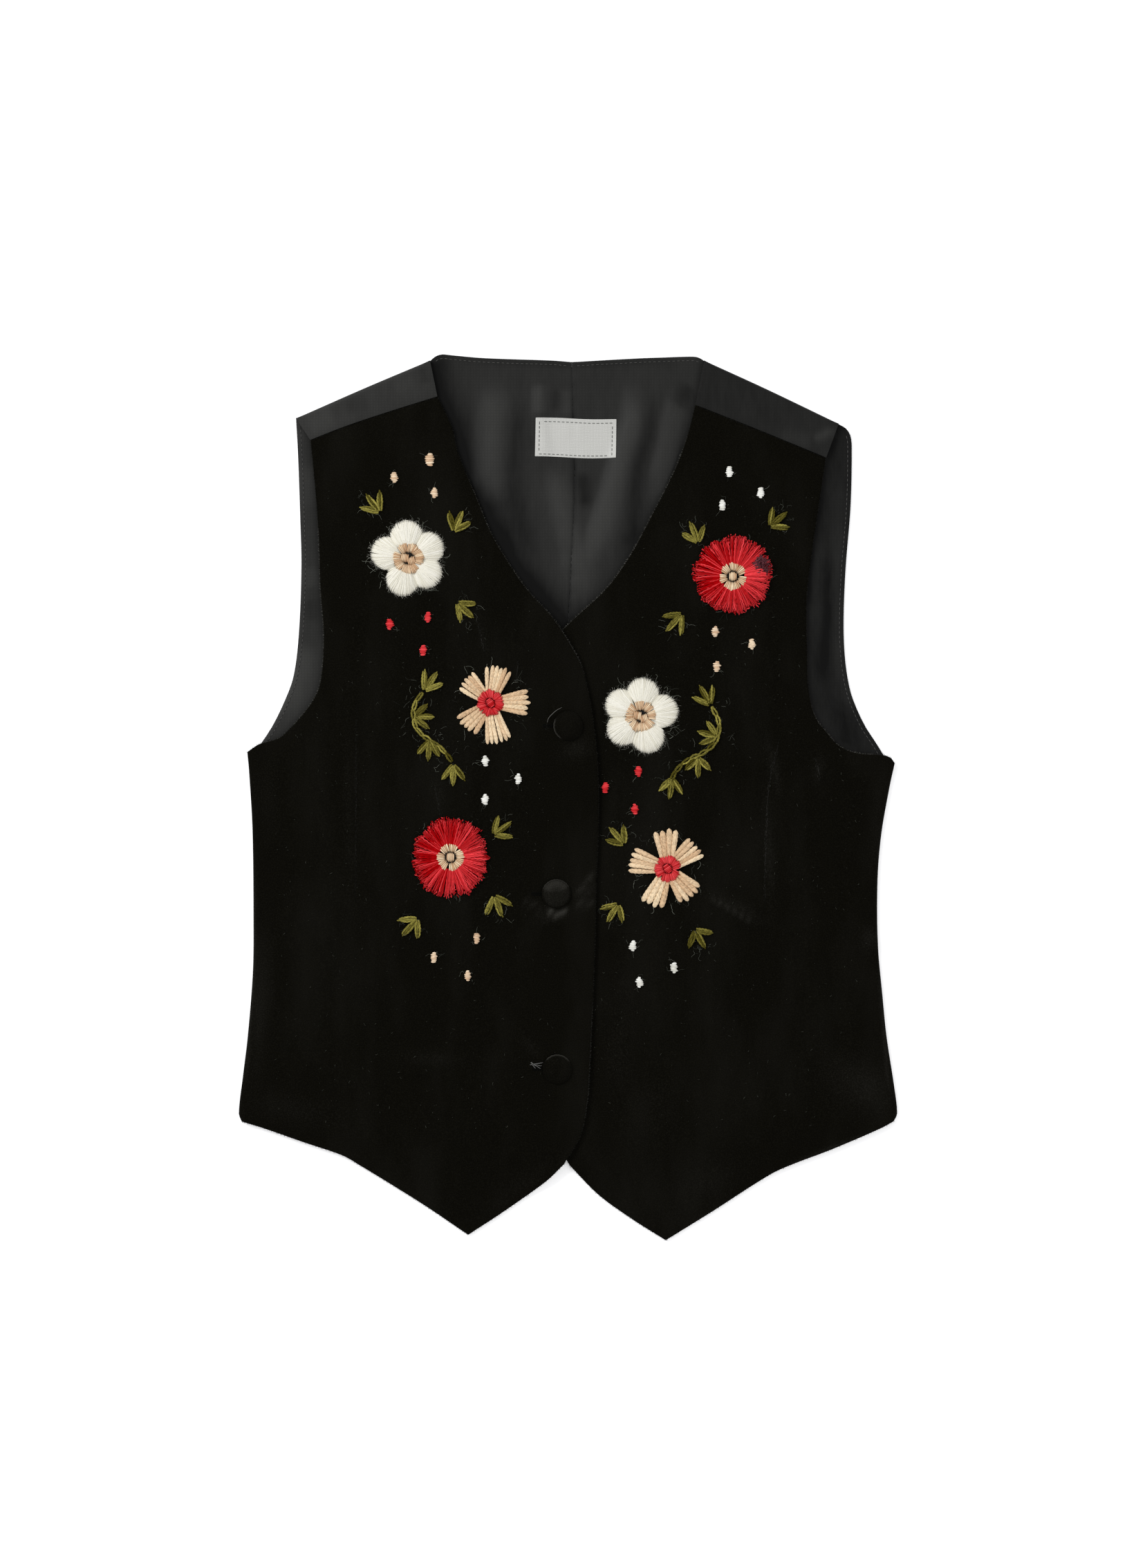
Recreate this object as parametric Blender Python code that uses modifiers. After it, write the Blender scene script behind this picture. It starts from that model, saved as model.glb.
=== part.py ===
"""Child's embroidered waistcoat, laid out flat: velvet fronts on a satin back, covered buttons and wool flowers.

The tables are in millimetres, +Y towards the neck, +Z up, measured from the middle of the laid-out garment.
Meshes are in metres. Names say the wearer's side, and the wearer's right has negative X.
"""

import math
import random

import bmesh
import bpy
import numpy as np
from mathutils import Vector
from mathutils.bvhtree import BVHTree

MM = 0.001

# Driving dimensions
SATIN_WALL = 1.2
VELVET_WALL = 2.0
GAP = 0.3
FOLD_HEIGHT = SATIN_WALL + GAP + VELVET_WALL
CROWN = 1.2
CROWN_STARTS = 26.0
CROWN_REACH = 45.0
OVERLAP_CLEARANCE = 0.2
OVERLAP_LIFT = VELVET_WALL + GAP + OVERLAP_CLEARANCE
OVERLAP_RAMP = 28.0
OVERLAP_FLAT = 8.0
POINT_DROP = 1.4
POINT_DROP_STARTS = 165.0
POINT_DROP_REACH = 30.0
EDGE_ROLL = 2.6
VELVET_EDGE_DROP = 0.5
VELVET_EDGE_WALL = 0.5
SATIN_EDGE_WALL = 0.6
SIDE_INSET = 3.0
BUTTON_RADIUS = 7.1
BUTTON_HEIGHT = 3.6
SHANK_RADIUS = 1.1
BUTTONHOLE_LENGTH = 12.0
BUTTONHOLE_WIDTH = 0.9
LABEL_SIZE = (39.0, 18.7)
LABEL_CENTRE = (3.7, 173.4)
LABEL_WALL = 1.0
LABEL_ROWS = 3
LABEL_COLUMNS = 7

# Outlines of the velvet fronts, x and y of each point, from the hem corner up and from the hem corner inwards
FRONTS = {
    "front_right": {
        "side": [(-157.6, -156.4), (-158.9, -152.5), (-156.8, -133.9), (-154.6, -115.6), (-152.1, -84.2),
                 (-151.8, -58.2), (-152.3, -15.6), (-153.9, 11.8), (-154.7, 21.8)],
        "armhole": [(-154.7, 21.8), (-148.9, 25.7), (-139.6, 28.6), (-133.7, 33.8), (-125.6, 43.2), (-120.8, 51.4),
                    (-118.7, 61.9), (-118.0, 79.6), (-119.6, 100.8), (-120.7, 132.8), (-122.9, 159.4),
                    (-124.2, 172.1)],
        "shoulder": [(-124.2, 172.1), (-107.6, 178.6), (-86.2, 185.8), (-62.9, 193.1)],
        "opening": [(-1.9, -176.9), (6.0, -163.1), (9.4, -146.6), (10.4, -132.2), (12.1, -95.9), (13.2, -66.6),
                    (13.8, -37.2), (14.8, -13.9), (14.4, 16.4), (12.1, 37.4), (10.4, 48.1), (6.6, 63.4), (0.9, 74.4),
                    (-7.6, 87.1), (-19.2, 99.8), (-28.9, 113.8), (-36.9, 127.4), (-43.6, 143.4), (-53.2, 166.8),
                    (-55.9, 178.4), (-62.9, 193.1)],
        "hem_outer": [(-157.6, -156.4), (-146.5, -159.8), (-127.0, -166.6), (-108.6, -172.9), (-99.9, -177.9),
                      (-84.7, -187.2), (-67.3, -198.2), (-48.2, -211.2)],
        "hem_inner": [(-48.2, -211.2), (-30.5, -199.6), (-10.9, -185.5), (-1.9, -176.9)],
        "dart_share": 0.30,
    },
    "front_left": {
        "side": [(157.4, -156.2), (158.9, -152.6), (157.5, -139.9), (153.8, -115.6), (151.8, -95.9), (149.6, -71.0),
                 (149.4, -40.9), (151.1, -18.8), (154.7, 2.3), (157.6, 16.4)],
        "armhole": [(157.6, 16.4), (154.7, 19.8), (138.9, 21.6), (130.7, 25.1), (124.9, 31.5), (119.6, 38.5),
                    (116.1, 51.1), (115.4, 68.5), (115.1, 96.1), (117.7, 118.2), (121.8, 146.1), (124.4, 163.6)],
        "shoulder": [(124.4, 163.6), (92.3, 176.8), (61.3, 189.1)],
        "opening": [(0.8, -177.6), (-7.2, -163.2), (-10.6, -146.6), (-11.6, -132.2), (-13.2, -95.9), (-15.9, -15.6),
                    (-15.6, 37.8), (-14.9, 51.1), (-12.6, 65.8), (-7.2, 75.8), (1.6, 85.1), (18.1, 100.5),
                    (29.3, 115.9), (41.4, 138.2), (51.4, 158.1), (58.0, 175.8), (61.3, 189.1)],
        "hem_outer": [(157.4, -156.2), (149.8, -160.2), (126.4, -170.2), (108.8, -176.9), (97.8, -181.9),
                      (70.1, -199.6), (47.2, -213.8)],
        "hem_inner": [(47.2, -213.8), (31.4, -203.9), (14.8, -191.9), (0.8, -177.6)],
        "dart_share": 0.33,
    },
}

# Outlines of the satin back; its side follows the front's side, SIDE_INSET inside it
BACK_SEAM = [(0.0, -160.0), (0.0, 0.0), (0.0, 80.8), (1.6, 112.8), (2.7, 140.4), (3.3, 162.4), (2.4, 184.4),
             (1.8, 210.1)]
BACKS = {
    "back_right": {
        "front": "front_right",
        "armhole": [(-151.6, 20.5), (-148.5, 25.5), (-143.0, 33.8), (-137.2, 45.5), (-132.5, 58.4), (-129.9, 79.4),
                    (-128.7, 111.4), (-129.2, 132.8), (-130.3, 164.8), (-131.3, 182.8)],
        "fold": [(-131.3, 182.8), (-97.2, 197.8), (-60.6, 213.8)],
        "neck": [(-60.6, 213.8), (-40.6, 212.8), (-7.2, 210.8), (1.8, 210.1)],
    },
    "back_left": {
        "front": "front_left",
        "armhole": [(154.4, 14.5), (153.2, 18.5), (149.4, 25.1), (142.4, 36.2), (136.0, 52.5), (133.1, 76.2),
                    (133.8, 107.2), (136.4, 140.4), (137.0, 171.1), (136.6, 176.5)],
        "fold": [(136.6, 176.5), (131.0, 180.8), (96.1, 196.8), (62.4, 212.8)],
        "neck": [(62.4, 212.8), (32.8, 211.8), (1.8, 210.1)],
    },
}

# Soft folds: from x, from y, to x, to y, half width, height
SATIN_FOLDS = [
    (38.0, 203.0, 30.0, 170.0, 7.5, 2.0),
    (30.0, 170.0, 15.0, 118.0, 7.0, 1.4),
    (50.0, 200.0, 42.0, 178.0, 6.0, 1.2),
    (-42.0, 203.0, -36.0, 166.0, 9.0, 1.8),
    (-36.0, 166.0, -19.0, 124.0, 7.0, 1.1),
    (-16.0, 204.0, -15.0, 192.0, 5.0, 1.0),
]
VELVET_FOLDS = {
    "front_right": [
        (-101.9, 46.0, -102.5, -52.0, 7.0, -0.6),
        (-26.0, -112.0, -14.0, -126.0, 6.0, 0.5),
        (-64.0, 8.0, -61.0, -9.0, 6.0, 0.5),
        (-84.0, -128.0, -52.0, -132.0, 9.0, 0.7),
    ],
    "front_left": [
        (102.0, 29.0, 96.5, 3.0, 7.0, -0.6),
        (96.5, 3.0, 94.5, -56.0, 7.0, -0.7),
        (66.0, -47.0, 91.0, -60.0, 7.0, 0.8),
        (119.0, 20.0, 121.5, 9.0, 6.0, 0.7),
        (128.0, -128.0, 152.0, -150.0, 10.0, 0.7),
    ],
}

# Buttons: x, y
BUTTONS = [(-0.2, 35.1), (-5.4, -46.4), (-5.2, -130.9)]

# Embroidery: panel, x, y, then turn or colour
WHITE_FLOWERS = [("front_right", -76.9, 115.4, 90.0), ("front_left", 35.1, 39.1, 84.0)]
TAN_FLOWERS = [
    ("front_right", -37.2, 45.8, (80.0, 134.0, 224.0, 279.0, 356.0)),
    ("front_left", 48.1, -34.6, (95.0, 38.0, -48.0, 245.0, 172.0)),
]
FRINGE_FLOWERS = [("front_right", -56.6, -28.9), ("front_left", 79.4, 106.4)]
# Sprigs: panel, x, y, heading and spread in degrees, leaf length
SPRIGS = [
    ("front_right", -90.6, 137.4, 128, 40, 10.9),
    ("front_right", -55.2, 128.0, 65, 40, 10.6),
    ("front_right", -53.4, 93.8, -43, 42, 10.2),
    ("front_right", -36.0, -18.2, 36, 45, 10.6),
    ("front_right", -35.5, -47.4, -70, 46, 10.8),
    ("front_right", -72.3, -58.5, -133, 45, 10.6),
    ("front_left", 62.7, 122.6, 110, 41, 10.0),
    ("front_left", 97.1, 130.5, 37, 43, 10.2),
    ("front_left", 55.2, 88.4, -134, 42, 10.8),
    ("front_left", 27.3, -22.8, 130, 42, 10.0),
    ("front_left", 24.3, -51.5, -122, 50, 9.8),
    ("front_left", 61.1, -63.8, -60, 52, 9.8),
]
# Garlands: the stem's points, then the clusters as rows of x, y, heading, spread and leaf length
GARLANDS = [
    {
        "panel": "front_right",
        "stem": [(-69.9, 50.4), (-73.0, 47.1), (-74.6, 42.8), (-73.6, 33.8), (-68.2, 28.4), (-61.6, 24.4),
                 (-58.2, 20.1), (-55.7, 16.8)],
        "clusters": [(-69.2, 51.1, 56, 36, 11.0), (-73.9, 38.8, 2, 45, 9.5), (-66.6, 27.8, -96, 39, 10.0),
                     (-55.2, 16.1, -92, 38, 10.4)],
    },
    {
        "panel": "front_left",
        "stem": [(69.3, 43.7), (72.1, 38.4), (73.2, 33.0), (70.8, 26.1), (65.5, 21.5), (59.1, 18.8), (53.6, 14.9),
                 (50.6, 10.2)],
        "clusters": [(68.8, 44.4, 120, 40, 10.0), (71.8, 29.1, 162, 44, 9.6), (62.8, 19.4, -92, 46, 9.4),
                     (50.1, 9.4, -96, 42, 9.8)],
    },
]
# Dots: panel, colour, x, y
DOTS = [
    ("front_right", "tan", -66.7, 162.8), ("front_right", "tan", -83.8, 154.2), ("front_right", "tan", -64.4, 146.8),
    ("front_right", "red", -85.9, 83.3), ("front_right", "red", -67.6, 86.8), ("front_right", "red", -69.7, 70.8),
    ("front_right", "white", -39.9, 17.5), ("front_right", "white", -24.0, 8.9),
    ("front_right", "white", -39.9, -1.0), ("front_right", "tan", -44.0, -68.1),
    ("front_right", "tan", -64.7, -77.2), ("front_right", "tan", -48.3, -86.0),
    ("front_left", "white", 77.7, 157.0), ("front_left", "white", 92.8, 146.8), ("front_left", "white", 74.4, 140.9),
    ("front_left", "tan", 71.0, 79.9), ("front_left", "tan", 88.7, 73.8), ("front_left", "tan", 71.7, 63.0),
    ("front_left", "red", 33.9, 12.4), ("front_left", "red", 17.9, 4.6), ("front_left", "red", 32.2, -5.7),
    ("front_left", "white", 31.3, -71.6), ("front_left", "white", 51.0, -82.2), ("front_left", "white", 34.5, -89.2),
]

# Materials: colour, roughness, metallic
FINISHES = {
    "velvet": ((0.006, 0.006, 0.005), 0.95, 0.0),
    "satin": ((0.030, 0.030, 0.031), 0.45, 0.0),
    "label": ((0.48, 0.48, 0.46), 0.6, 0.0),
    "white": ((0.80, 0.77, 0.68), 0.85, 0.0),
    "tan": ((0.62, 0.42, 0.26), 0.85, 0.0),
    "red": ((0.42, 0.01, 0.015), 0.85, 0.0),
    "green": ((0.13, 0.11, 0.02), 0.85, 0.0),
}


def clear_scene():
    for old in list(bpy.data.objects):
        bpy.data.objects.remove(old, do_unlink=True)


def new_collection(name):
    made = bpy.data.collections.new(name)
    bpy.context.scene.collection.children.link(made)
    return made


def material(name, finish):
    colour, roughness, metallic = FINISHES[finish]
    made = bpy.data.materials.new(name)
    made.use_nodes = True
    shader = made.node_tree.nodes["Principled BSDF"]
    shader.inputs["Base Color"].default_value = (*colour, 1.0)
    shader.inputs["Roughness"].default_value = roughness
    shader.inputs["Metallic"].default_value = metallic
    return made


def add_object(name, mesh, finish, collection):
    made = bpy.data.objects.new(name, mesh)
    collection.objects.link(made)
    mesh.materials.append(material(name + "_finish", finish))
    mesh.shade_smooth()
    mesh.set_sharp_from_angle(angle=math.radians(50))
    return made


def smoothstep(value):
    share = np.clip(value, 0.0, 1.0)
    return share * share * (3.0 - 2.0 * share)


class Curve:
    """A smooth curve through a table's points, read by its share of length."""

    def __init__(self, points):
        p = np.array(points, float)
        if len(p) == 2:
            fine = p
        else:
            ends = np.vstack([2 * p[0] - p[1], p, 2 * p[-1] - p[-2]])
            t = np.linspace(0.0, 1.0, 12, endpoint=False)[:, None]
            runs = []
            for a, b, c, d in zip(ends, ends[1:], ends[2:], ends[3:]):
                chord = np.linalg.norm(c - b)
                start = chord * (c - a) / max(np.linalg.norm(b - a) + chord, 1e-6)
                end = chord * (d - b) / max(np.linalg.norm(d - c) + chord, 1e-6)
                runs.append((2 * t**3 - 3 * t**2 + 1) * b + (t**3 - 2 * t**2 + t) * start
                            + (3 * t**2 - 2 * t**3) * c + (t**3 - t**2) * end)
            fine = np.vstack(runs + [p[-1:]])
        self.points = fine
        self.steps = np.concatenate([[0.0], np.cumsum(np.linalg.norm(np.diff(fine, axis=0), axis=1))])
        self.length = self.steps[-1]

    def at(self, share):
        where = np.clip(share, 0.0, 1.0) * self.length
        return np.array([np.interp(where, self.steps, self.points[:, k]) for k in (0, 1)])


class Joined:
    """Two curves end to end, read as one; their joint is a corner at the share called corner."""

    def __init__(self, first, second):
        self.first = first
        self.second = second
        self.length = first.length + second.length
        self.corner = first.length / self.length

    def at(self, share):
        if share <= self.corner:
            return self.first.at(share / self.corner)
        return self.second.at((share - self.corner) / (1.0 - self.corner))


def patch_point(outer, inner, bottom, top, u, v):
    """Point of the patch between four edges: u runs from the outer to the inner edge, v from the hem up."""
    ruled = (1 - u) * outer.at(v) + u * inner.at(v) + (1 - v) * bottom.at(u) + v * top.at(u)
    corners = ((1 - u) * (1 - v) * outer.at(0) + u * (1 - v) * inner.at(0)
               + (1 - u) * v * outer.at(1) + u * v * inner.at(1))
    return ruled - corners


def folds_at(x, y, folds):
    """Height that the nearby soft folds give at one place, the strongest one each way."""
    up = down = 0.0
    for x0, y0, x1, y1, half_width, height in folds:
        along = Vector((x1 - x0, y1 - y0))
        here = Vector((x - x0, y - y0))
        share = min(max(here.dot(along) / along.length_squared, 0.0), 1.0)
        reach = (here - along * share).length / half_width
        if reach < 1.0:
            rise = height * (1.0 - reach * reach) ** 2
            up = max(up, rise)
            down = min(down, rise)
    return up + down


def sheet_mesh(name, rows, mirrored, walls):
    """Open surface from rows of points in millimetres; a later row may be shorter. Walls are shares of the full wall."""
    mesh = bpy.data.meshes.new(name)
    bm = bmesh.new()
    grid = [[bm.verts.new(Vector(p) * MM) for p in row] for row in rows]
    for low, high in zip(grid, grid[1:]):
        for k in range(min(len(low), len(high)) - 1):
            corners = [low[k], low[k + 1], high[k + 1], high[k]]
            bm.faces.new(corners[::-1] if mirrored else corners)
    bm.to_mesh(mesh)
    bm.free()
    shares = [share for row in walls for share in row]
    return mesh, shares


def thicken(made, shares, wall, offset):
    group = made.vertex_groups.new(name="wall")
    for index, share in enumerate(shares):
        group.add([index], share, "REPLACE")
    shell = made.modifiers.new("cloth", "SOLIDIFY")
    shell.thickness = wall * MM
    shell.offset = offset
    shell.vertex_group = "wall"
    shell.use_even_offset = False
    shell.use_rim = True


class Surface:
    """The top of a built panel, for what is laid on it."""

    def __init__(self, made):
        graph = bpy.context.evaluated_depsgraph_get()
        graph.update()
        self.tree = BVHTree.FromObject(made, graph)

    def height(self, x, y):
        hit = self.tree.ray_cast(Vector((x * MM, y * MM, 0.1)), Vector((0.0, 0.0, -1.0)))
        if hit[0] is None:
            raise ValueError(f"nothing under {x:.1f}, {y:.1f}")
        return hit[0].z / MM


def spread_shares(start, end, count, power=1.0):
    return [start + (end - start) * (k / count) ** power for k in range(1, count + 1)]


def under_reach(x, y):
    """How far a place lies inside the under front's free edge, in millimetres; it is negative outside."""
    table = FRONTS["front_left"]
    line = np.array(table["hem_inner"] + table["opening"][1:])
    runs = np.diff(line, axis=0)
    here = np.array([x, y]) - line[:-1]
    share = np.clip((here * runs).sum(axis=1) / (runs * runs).sum(axis=1), 0.0, 1.0)
    distance = float(np.linalg.norm(here - runs * share[:, None], axis=1).min())
    return distance if x > np.interp(y, line[:, 1], line[:, 0]) else -distance


# Sections across a velvet edge, from the edge inwards: distance, height, share of the wall
ROLLED_SIDE = [(0.0, 0.4, 1.0), (0.0, 1.2, 1.0), (0.76, 2.74, 1.0), (EDGE_ROLL, FOLD_HEIGHT, 1.0)]
OPEN_EDGE = [(0.0, 3.0, 0.5), (0.4, 3.2, 0.65), (1.2, 3.4, 0.85), (EDGE_ROLL, FOLD_HEIGHT, 1.0)]
SIDE_ROLL_FADE = 10.0
COLUMN_SHARES = (0.09, 0.18)
ROWS_BELOW_ARM = 12
ROWS_BESIDE_ARM = 12


def edge_share(distance):
    return max(0.0, 1.0 - distance / EDGE_ROLL) ** 2


def front_panel(name, collection):
    table = FRONTS[name]
    side = Curve(table["side"])
    outer = Joined(side, Curve(table["armhole"]))
    inner = Curve(table["opening"])
    hem = Joined(Curve(table["hem_outer"]), Curve(table["hem_inner"]))
    shoulder = Curve(table["shoulder"])
    over = name == "front_right"
    dart = table["dart_share"]
    columns = [*COLUMN_SHARES, dart - 0.025, dart, dart + 0.025]
    columns += spread_shares(dart + 0.025, hem.corner, 4) + spread_shares(hem.corner, 1.0, 4)[:-1]
    first_rows = [0.0, 1.3 / outer.length, 4.0 / outer.length]
    rows = first_rows + spread_shares(first_rows[-1], outer.corner, ROWS_BELOW_ARM, 1.15)
    rows += spread_shares(outer.corner, 1.0 - 4.0 / outer.length, ROWS_BESIDE_ARM, 1.25)
    rows += [1.0 - 1.3 / outer.length, 1.0]
    points, walls = [], []
    for v in rows:
        width = float(np.linalg.norm(inner.at(v) - outer.at(v)))
        below = (outer.corner - v) * outer.length
        roll = float(smoothstep(below / SIDE_ROLL_FADE))
        row, wall_row = [], []
        edges = [tuple(roll * a + (1 - roll) * b for a, b in zip(rolled, free))
                 for rolled, free in zip(ROLLED_SIDE, OPEN_EDGE)]
        places = [(distance / width, height, wall) for distance, height, wall in edges]
        places += [(u, FOLD_HEIGHT, 1.0) for u in columns]
        places += [(1.0 - distance / width, height, wall)
                   for distance, height, wall in (OPEN_EDGE[3], OPEN_EDGE[2], OPEN_EDGE[0])]
        for u, height, wall in places:
            x, y = patch_point(outer, inner, hem, shoulder, u, v)
            crown = (smoothstep((1 - u) * width / CROWN_REACH - CROWN_STARTS / CROWN_REACH)
                     * smoothstep(u * width / CROWN_REACH) * smoothstep(v * outer.length / CROWN_REACH)
                     * smoothstep((1 - v) * outer.length / CROWN_REACH))
            free_end = edge_share(min(v, 1 - v) * outer.length)
            z = height + CROWN * float(crown) + folds_at(x, y, VELVET_FOLDS[name])
            z -= VELVET_EDGE_DROP * free_end * height / FOLD_HEIGHT
            z -= POINT_DROP * float(smoothstep((-y - POINT_DROP_STARTS) / POINT_DROP_REACH))
            if over:
                reach = under_reach(x, y) + OVERLAP_RAMP
                z += OVERLAP_LIFT * float(smoothstep(reach / (OVERLAP_RAMP - OVERLAP_FLAT)))
            row.append((x, y, z))
            wall_row.append(min(wall, 1.0 - (1.0 - VELVET_EDGE_WALL) * free_end))
        points.append(row)
        walls.append(wall_row)
    mesh, shares = sheet_mesh(name, points, not over, walls)
    made = add_object(name, mesh, "velvet", collection)
    thicken(made, shares, VELVET_WALL, -1.0)
    return made


# Columns of the back: shares of the shoulder fold, then of the neck edge
FOLD_COLUMNS = 5
NECK_COLUMNS = 8
BACK_ROWS_LOW = 7
BACK_ROWS_HIGH = 11
FOLD_STEPS = (60.0, 120.0, 180.0)


def back_panel(name, collection):
    table = BACKS[name]
    front = FRONTS[table["front"]]
    outward = -1.0 if name == "back_right" else 1.0
    side_points = [(x - outward * SIDE_INSET, y) for x, y in front["side"][1:-1] if y < table["armhole"][0][1] - 5]
    side = Curve(side_points + [table["armhole"][0]])
    outer = Joined(side, Curve(table["armhole"]))
    seam = Curve([(x + outward * GAP / 2, y) for x, y in BACK_SEAM])
    fold = Curve(table["fold"])
    neck = Curve(table["neck"][:-1] + [tuple(seam.at(1.0))])
    top = Joined(fold, neck)
    hem = Curve([tuple(side.at(0.0)), (outward * 80.0, -158.5), tuple(seam.at(0.0))])
    columns = [0.0] + spread_shares(0.0, top.corner, FOLD_COLUMNS) + spread_shares(top.corner, 1.0, NECK_COLUMNS)
    rows = [0.0, 2.0 / outer.length] + spread_shares(2.0 / outer.length, outer.corner, BACK_ROWS_LOW)
    rows += spread_shares(outer.corner, 1.0 - 7.0 / outer.length, BACK_ROWS_HIGH) + [1.0]
    radius = FOLD_HEIGHT / 2
    fold_line = [fold.at(k / FOLD_COLUMNS) for k in range(FOLD_COLUMNS + 1)]
    run = (fold.at(1.0) - fold.at(0.0)) / np.linalg.norm(fold.at(1.0) - fold.at(0.0))
    away = np.array([-run[1], run[0]]) * -outward
    points, walls = [], []
    for v in rows:
        row, wall_row = [], []
        for k, u in enumerate(columns):
            x, y = patch_point(outer, seam, hem, top, u, v)
            if v == 1.0 and k <= FOLD_COLUMNS:
                x, y = fold_line[k] - away * radius
            row.append((x, y, folds_at(x, y, SATIN_FOLDS)))
            rim = v == 0.0 or k == 0 or (v == 1.0 and k > FOLD_COLUMNS)
            wall_row.append(SATIN_EDGE_WALL if rim else 1.0)
        points.append(row)
        walls.append(wall_row)
    for turn in FOLD_STEPS:
        angle = math.radians(turn)
        row = [fold_line[k] + away * radius * (math.sin(angle) - 1.0) for k in range(FOLD_COLUMNS + 1)]
        points.append([(x, y, radius * (1.0 - math.cos(angle))) for x, y in row])
        walls.append([1.0] * (FOLD_COLUMNS + 1))
    shoulder = Curve(front["shoulder"])
    for share in (0.5, 1.0):
        row = []
        for k in range(FOLD_COLUMNS + 1):
            start = fold_line[k] - away * radius
            end = shoulder.at(k / FOLD_COLUMNS) + away * GAP
            x, y = start + (end - start) * share
            row.append((x, y, FOLD_HEIGHT - (1.0 - SATIN_EDGE_WALL) * (share == 1.0)))
        points.append(row)
        walls.append([1.0 if share < 1.0 else SATIN_EDGE_WALL] * (FOLD_COLUMNS + 1))
    mesh, shares = sheet_mesh(name, points, outward > 0, walls)
    made = add_object(name, mesh, "satin", collection)
    thicken(made, shares, SATIN_WALL, 1.0)
    return made


def cut_buttonholes(panel, cutters):
    for number, (x, y) in enumerate(BUTTONS, 1):
        for part in ("eye", "slit"):
            mesh = bpy.data.meshes.new(f"buttonhole_{number}_{part}")
            bm = bmesh.new()
            if part == "eye":
                size = SHANK_RADIUS + GAP
                bmesh.ops.create_cone(bm, cap_ends=True, segments=10, radius1=size * MM, radius2=size * MM,
                                      depth=12 * MM)
            else:
                bmesh.ops.create_cube(bm, size=1.0)
                bmesh.ops.scale(bm, vec=Vector((BUTTONHOLE_LENGTH, BUTTONHOLE_WIDTH, 12.0)) * MM, verts=bm.verts)
            bm.to_mesh(mesh)
            bm.free()
            cutter = bpy.data.objects.new(mesh.name, mesh)
            shift = 0.0 if part == "eye" else -BUTTONHOLE_LENGTH / 2
            cutter.location = Vector((x + shift, y, 5.0)) * MM
            cutter.hide_render = True
            cutter.display_type = "WIRE"
            cutters.objects.link(cutter)
            cut = panel.modifiers.new(mesh.name, "BOOLEAN")
            cut.operation = "DIFFERENCE"
            cut.solver = "EXACT"
            cut.object = cutter


def button(number, x, y, over, under, collection):
    """Covered dome with a round edge, on a shank that stands on the under front."""
    seat = max(over.height(x + BUTTON_RADIUS * math.cos(a), y + BUTTON_RADIUS * math.sin(a))
               for a in np.linspace(0.0, 2 * math.pi, 16)) + GAP
    foot = under.height(x, y) + GAP
    profile = [(0.0, seat + BUTTON_HEIGHT), (2.6, seat + 3.35), (4.9, seat + 2.6), (6.5, seat + 1.5),
               (BUTTON_RADIUS, seat + 0.7), (6.6, seat + 0.1), (5.4, seat), (SHANK_RADIUS, seat),
               (SHANK_RADIUS, foot), (0.0, foot)]
    mesh = bpy.data.meshes.new(f"button_{number}")
    bm = bmesh.new()
    points = [bm.verts.new(Vector((radius, 0.0, z)) * MM) for radius, z in profile]
    for a, b in zip(points, points[1:]):
        bm.edges.new((a, b))
    bm.to_mesh(mesh)
    bm.free()
    made = add_object(f"button_{number}", mesh, "velvet", collection)
    made.location = Vector((x, y, 0.0)) * MM
    turn = made.modifiers.new("turned", "SCREW")
    turn.steps = 12
    turn.render_steps = 12
    turn.use_merge_vertices = True
    turn.merge_threshold = 0.00001
    return made


def label(surface_right, surface_left, collection):
    """Woven label over the centre back seam, laid on the two halves."""
    width, height = LABEL_SIZE
    rows = []
    for j in range(LABEL_ROWS):
        row = []
        for i in range(LABEL_COLUMNS):
            x = LABEL_CENTRE[0] + width * (i / (LABEL_COLUMNS - 1) - 0.5)
            y = LABEL_CENTRE[1] + height * (j / (LABEL_ROWS - 1) - 0.5)
            seam = float(np.interp(y, [p[1] for p in BACK_SEAM], [p[0] for p in BACK_SEAM]))
            side = surface_right if x < seam else surface_left
            row.append((x, y, side.height(x, y) + GAP))
        rows.append(row)
    mesh, shares = sheet_mesh("label", rows, False, [[1.0] * LABEL_COLUMNS] * LABEL_ROWS)
    made = add_object("label", mesh, "label", collection)
    thicken(made, shares, LABEL_WALL, 1.0)
    return made


def padded_mesh(name, surface, centre, spokes, rings, lift):
    """Open patch laid on a panel: spokes are (angle, reach, fullness), rings are (share of the reach, fullness)."""
    mesh = bpy.data.meshes.new(name)
    bm = bmesh.new()

    def laid(x, y):
        return Vector((x, y, surface.height(x, y) + lift)) * MM

    middle = bm.verts.new(laid(*centre))
    shares = [rings[0][1] if len(rings) > 1 else 1.0]
    loops = []
    for share, fullness in rings:
        loop = []
        for angle, reach, full in spokes:
            x = centre[0] + reach * share * math.cos(math.radians(angle))
            y = centre[1] + reach * share * math.sin(math.radians(angle))
            loop.append(bm.verts.new(laid(x, y)))
            shares.append(fullness * full)
        loops.append(loop)
    count = len(spokes)
    for k in range(count):
        n = (k + 1) % count
        bm.faces.new((middle, loops[0][k], loops[0][n]))
        for low, high in zip(loops, loops[1:]):
            bm.faces.new((low[k], high[k], high[n], low[n]))
    bm.to_mesh(mesh)
    bm.free()
    return mesh, shares


def padded(name, surface, centre, spokes, rings, thickness, finish, collection, lift=GAP):
    mesh, shares = padded_mesh(name, surface, centre, spokes, rings, lift)
    made = add_object(name, mesh, finish, collection)
    thicken(made, shares, thickness, 1.0)
    return made


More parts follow.
